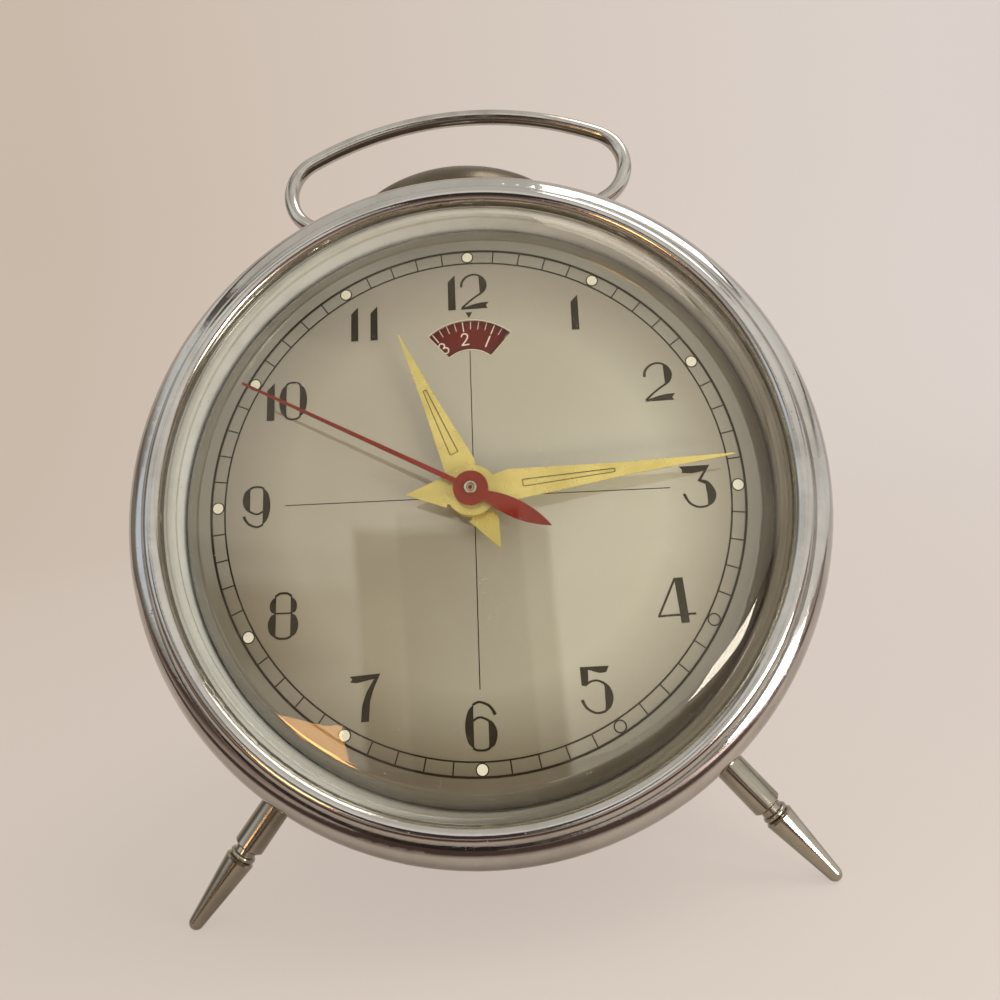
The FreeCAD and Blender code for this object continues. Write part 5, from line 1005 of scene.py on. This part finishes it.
def build_floor(settings):
    """Pale floor that sweeps up behind the clock."""
    mesh = bmesh.new()
    front, start, bend, top, half = -1.6, 0.45, 0.35, 1.6, 2.2
    points = [(front, 0.0)]
    for i in range(13):
        a = math.radians(90.0 * i / 12)
        points.append((start + bend * math.sin(a), bend - bend * math.cos(a)))
    points.append((start + bend, top))
    rows = [[mesh.verts.new((x, y, z)) for x in (-half, half)] for y, z in points]
    for low, high in zip(rows, rows[1:]):
        mesh.faces.new((low[0], low[1], high[1], high[0])).smooth = True
    data = bpy.data.meshes.new("studio_floor")
    mesh.to_mesh(data)
    mesh.free()
    data.materials.append(paper_material(settings))
    floor = linked("studio_floor", data)


# The room as the metal mirrors it: colours by height of the mirrored direction, from the lowest up
ROOM_BANDS = (
    (-0.1, (0.05, 0.03, 0.024)), (0.04, (0.10, 0.07, 0.055)), (0.06, (0.38, 0.34, 0.29)),
    (0.30, (0.60, 0.56, 0.50)), (0.33, (0.14, 0.12, 0.10)), (0.39, (0.14, 0.12, 0.10)),
    (0.42, (0.80, 0.77, 0.71)), (0.72, (0.92, 0.90, 0.85)), (0.74, (0.12, 0.10, 0.09)),
    (0.79, (0.12, 0.10, 0.09)), (0.81, (0.70, 0.67, 0.61)),
)
# Colour, strength and the directions of: dim left wall, cool window at the left, bright right wall,
# warm wall ahead, and the dark rectangle over the lower dial
ROOM_PARTS = (
    ((0.20, 0.165, 0.13), 0.8, (("X", -0.5, -0.9), ("Y", -0.45, -0.25), ("Z", 0.6, 0.5))),
    ((0.86, 0.92, 0.98), 0.9, (("X", -0.56, -0.72), ("Y", -0.2, -0.35), ("Z", 0.14, 0.2))),
    ((0.95, 0.92, 0.88), 0.9, (("X", 0.30, 0.42), ("Z", 0.36, 0.30))),
    ((0.98, 0.93, 0.85), 0.8, (("X", -0.45, 0.0), ("Y", -0.2, -0.4), ("Z", 0.86, 0.80))),
    ((0.05, 0.04, 0.035), 1.0, (("X", -0.225, -0.215), ("X", 0.025, 0.015), ("Y", -0.2, -0.4),
                                ("Z", 0.48, 0.465))),
)


def part_of_room(tree, way, *spans):
    """Soft-edged part of the room: each span is an axis, where it starts and where it is full."""
    mask = 1.0
    for axis, start, full in spans:
        mask = maths(tree, "MULTIPLY", mask, fitted(tree, way[axis], start, full))
    return mask


def build_world(settings):
    """Even soft light for the surfaces, and a room of light and dark for the chrome and glass to mirror."""
    world = bpy.data.worlds.new("studio")
    bpy.context.scene.world = world
    world.use_nodes = True
    tree = world.node_tree
    tree.nodes.clear()
    way = node(tree, "ShaderNodeSeparateXYZ",
               Vector=node(tree, "ShaderNodeTexCoord").outputs["Generated"]).outputs
    low, high = ROOM_BANDS[0][0], 1.0
    room = colour_ramp(tree, fitted(tree, way["Z"], low, high),
                       [((height - low) / (high - low), colour) for height, colour in ROOM_BANDS])
    for colour, strength, spans in ROOM_PARTS:
        room = blend_colour(tree, room, colour, ranged(tree, part_of_room(tree, way, *spans), 0.0, strength))
    rays = node(tree, "ShaderNodeLightPath").outputs
    soft = blend_colour(tree, tuple(settings.sky_colour), room, rays["Is Glossy Ray"])
    shown = blend_colour(tree, soft, tuple(settings.paper_right), rays["Is Camera Ray"])
    background = node(tree, "ShaderNodeBackground", Color=shown, Strength=1.0)
    node(tree, "ShaderNodeOutputWorld", Surface=background.outputs[0])


class CLOCK_OT_stage(bpy.types.Operator):
    """Set the floor, the lights and the camera"""

    bl_idname = "clock.stage"
    bl_label = "Studio"

    def execute(self, context):
        settings = context.scene.clock_settings
        build_floor(settings)
        build_camera(settings)
        build_world(settings)
        build_lights(settings)
        context.scene.view_settings.view_transform = "Standard"
        return {"FINISHED"}


class CLOCK_PT_panel(bpy.types.Panel):
    """Buttons for each step of the clock's looks"""

    bl_idname = "CLOCK_PT_panel"
    bl_label = "Alarm clock"
    bl_space_type = "VIEW_3D"
    bl_region_type = "UI"
    bl_category = "Clock"

    def draw(self, context):
        for operator in OPERATORS:
            self.layout.operator(operator.bl_idname)
        settings = context.scene.clock_settings
        for name in settings.bl_rna.properties.keys():
            if name not in ("rna_type", "name"):
                self.layout.prop(settings, name)


OPERATORS = (CLOCK_OT_case, CLOCK_OT_glass, CLOCK_OT_dial, CLOCK_OT_alarm, CLOCK_OT_hands, CLOCK_OT_works,
             CLOCK_OT_stage)


def register():
    for item in (ClockSettings,) + OPERATORS + (CLOCK_PT_panel,):
        bpy.utils.register_class(item)
    bpy.types.Scene.clock_settings = bpy.props.PointerProperty(type=ClockSettings)


def unregister():
    del bpy.types.Scene.clock_settings
    for item in reversed((ClockSettings,) + OPERATORS + (CLOCK_PT_panel,)):
        bpy.utils.unregister_class(item)


def main():
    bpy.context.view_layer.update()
    register()
    bpy.ops.clock.case()
    bpy.ops.clock.glass()
    bpy.ops.clock.dial()
    bpy.ops.clock.alarm()
    bpy.ops.clock.hands()
    bpy.ops.clock.works()
    bpy.ops.clock.stage()


if __name__ == "__main__":
    main()
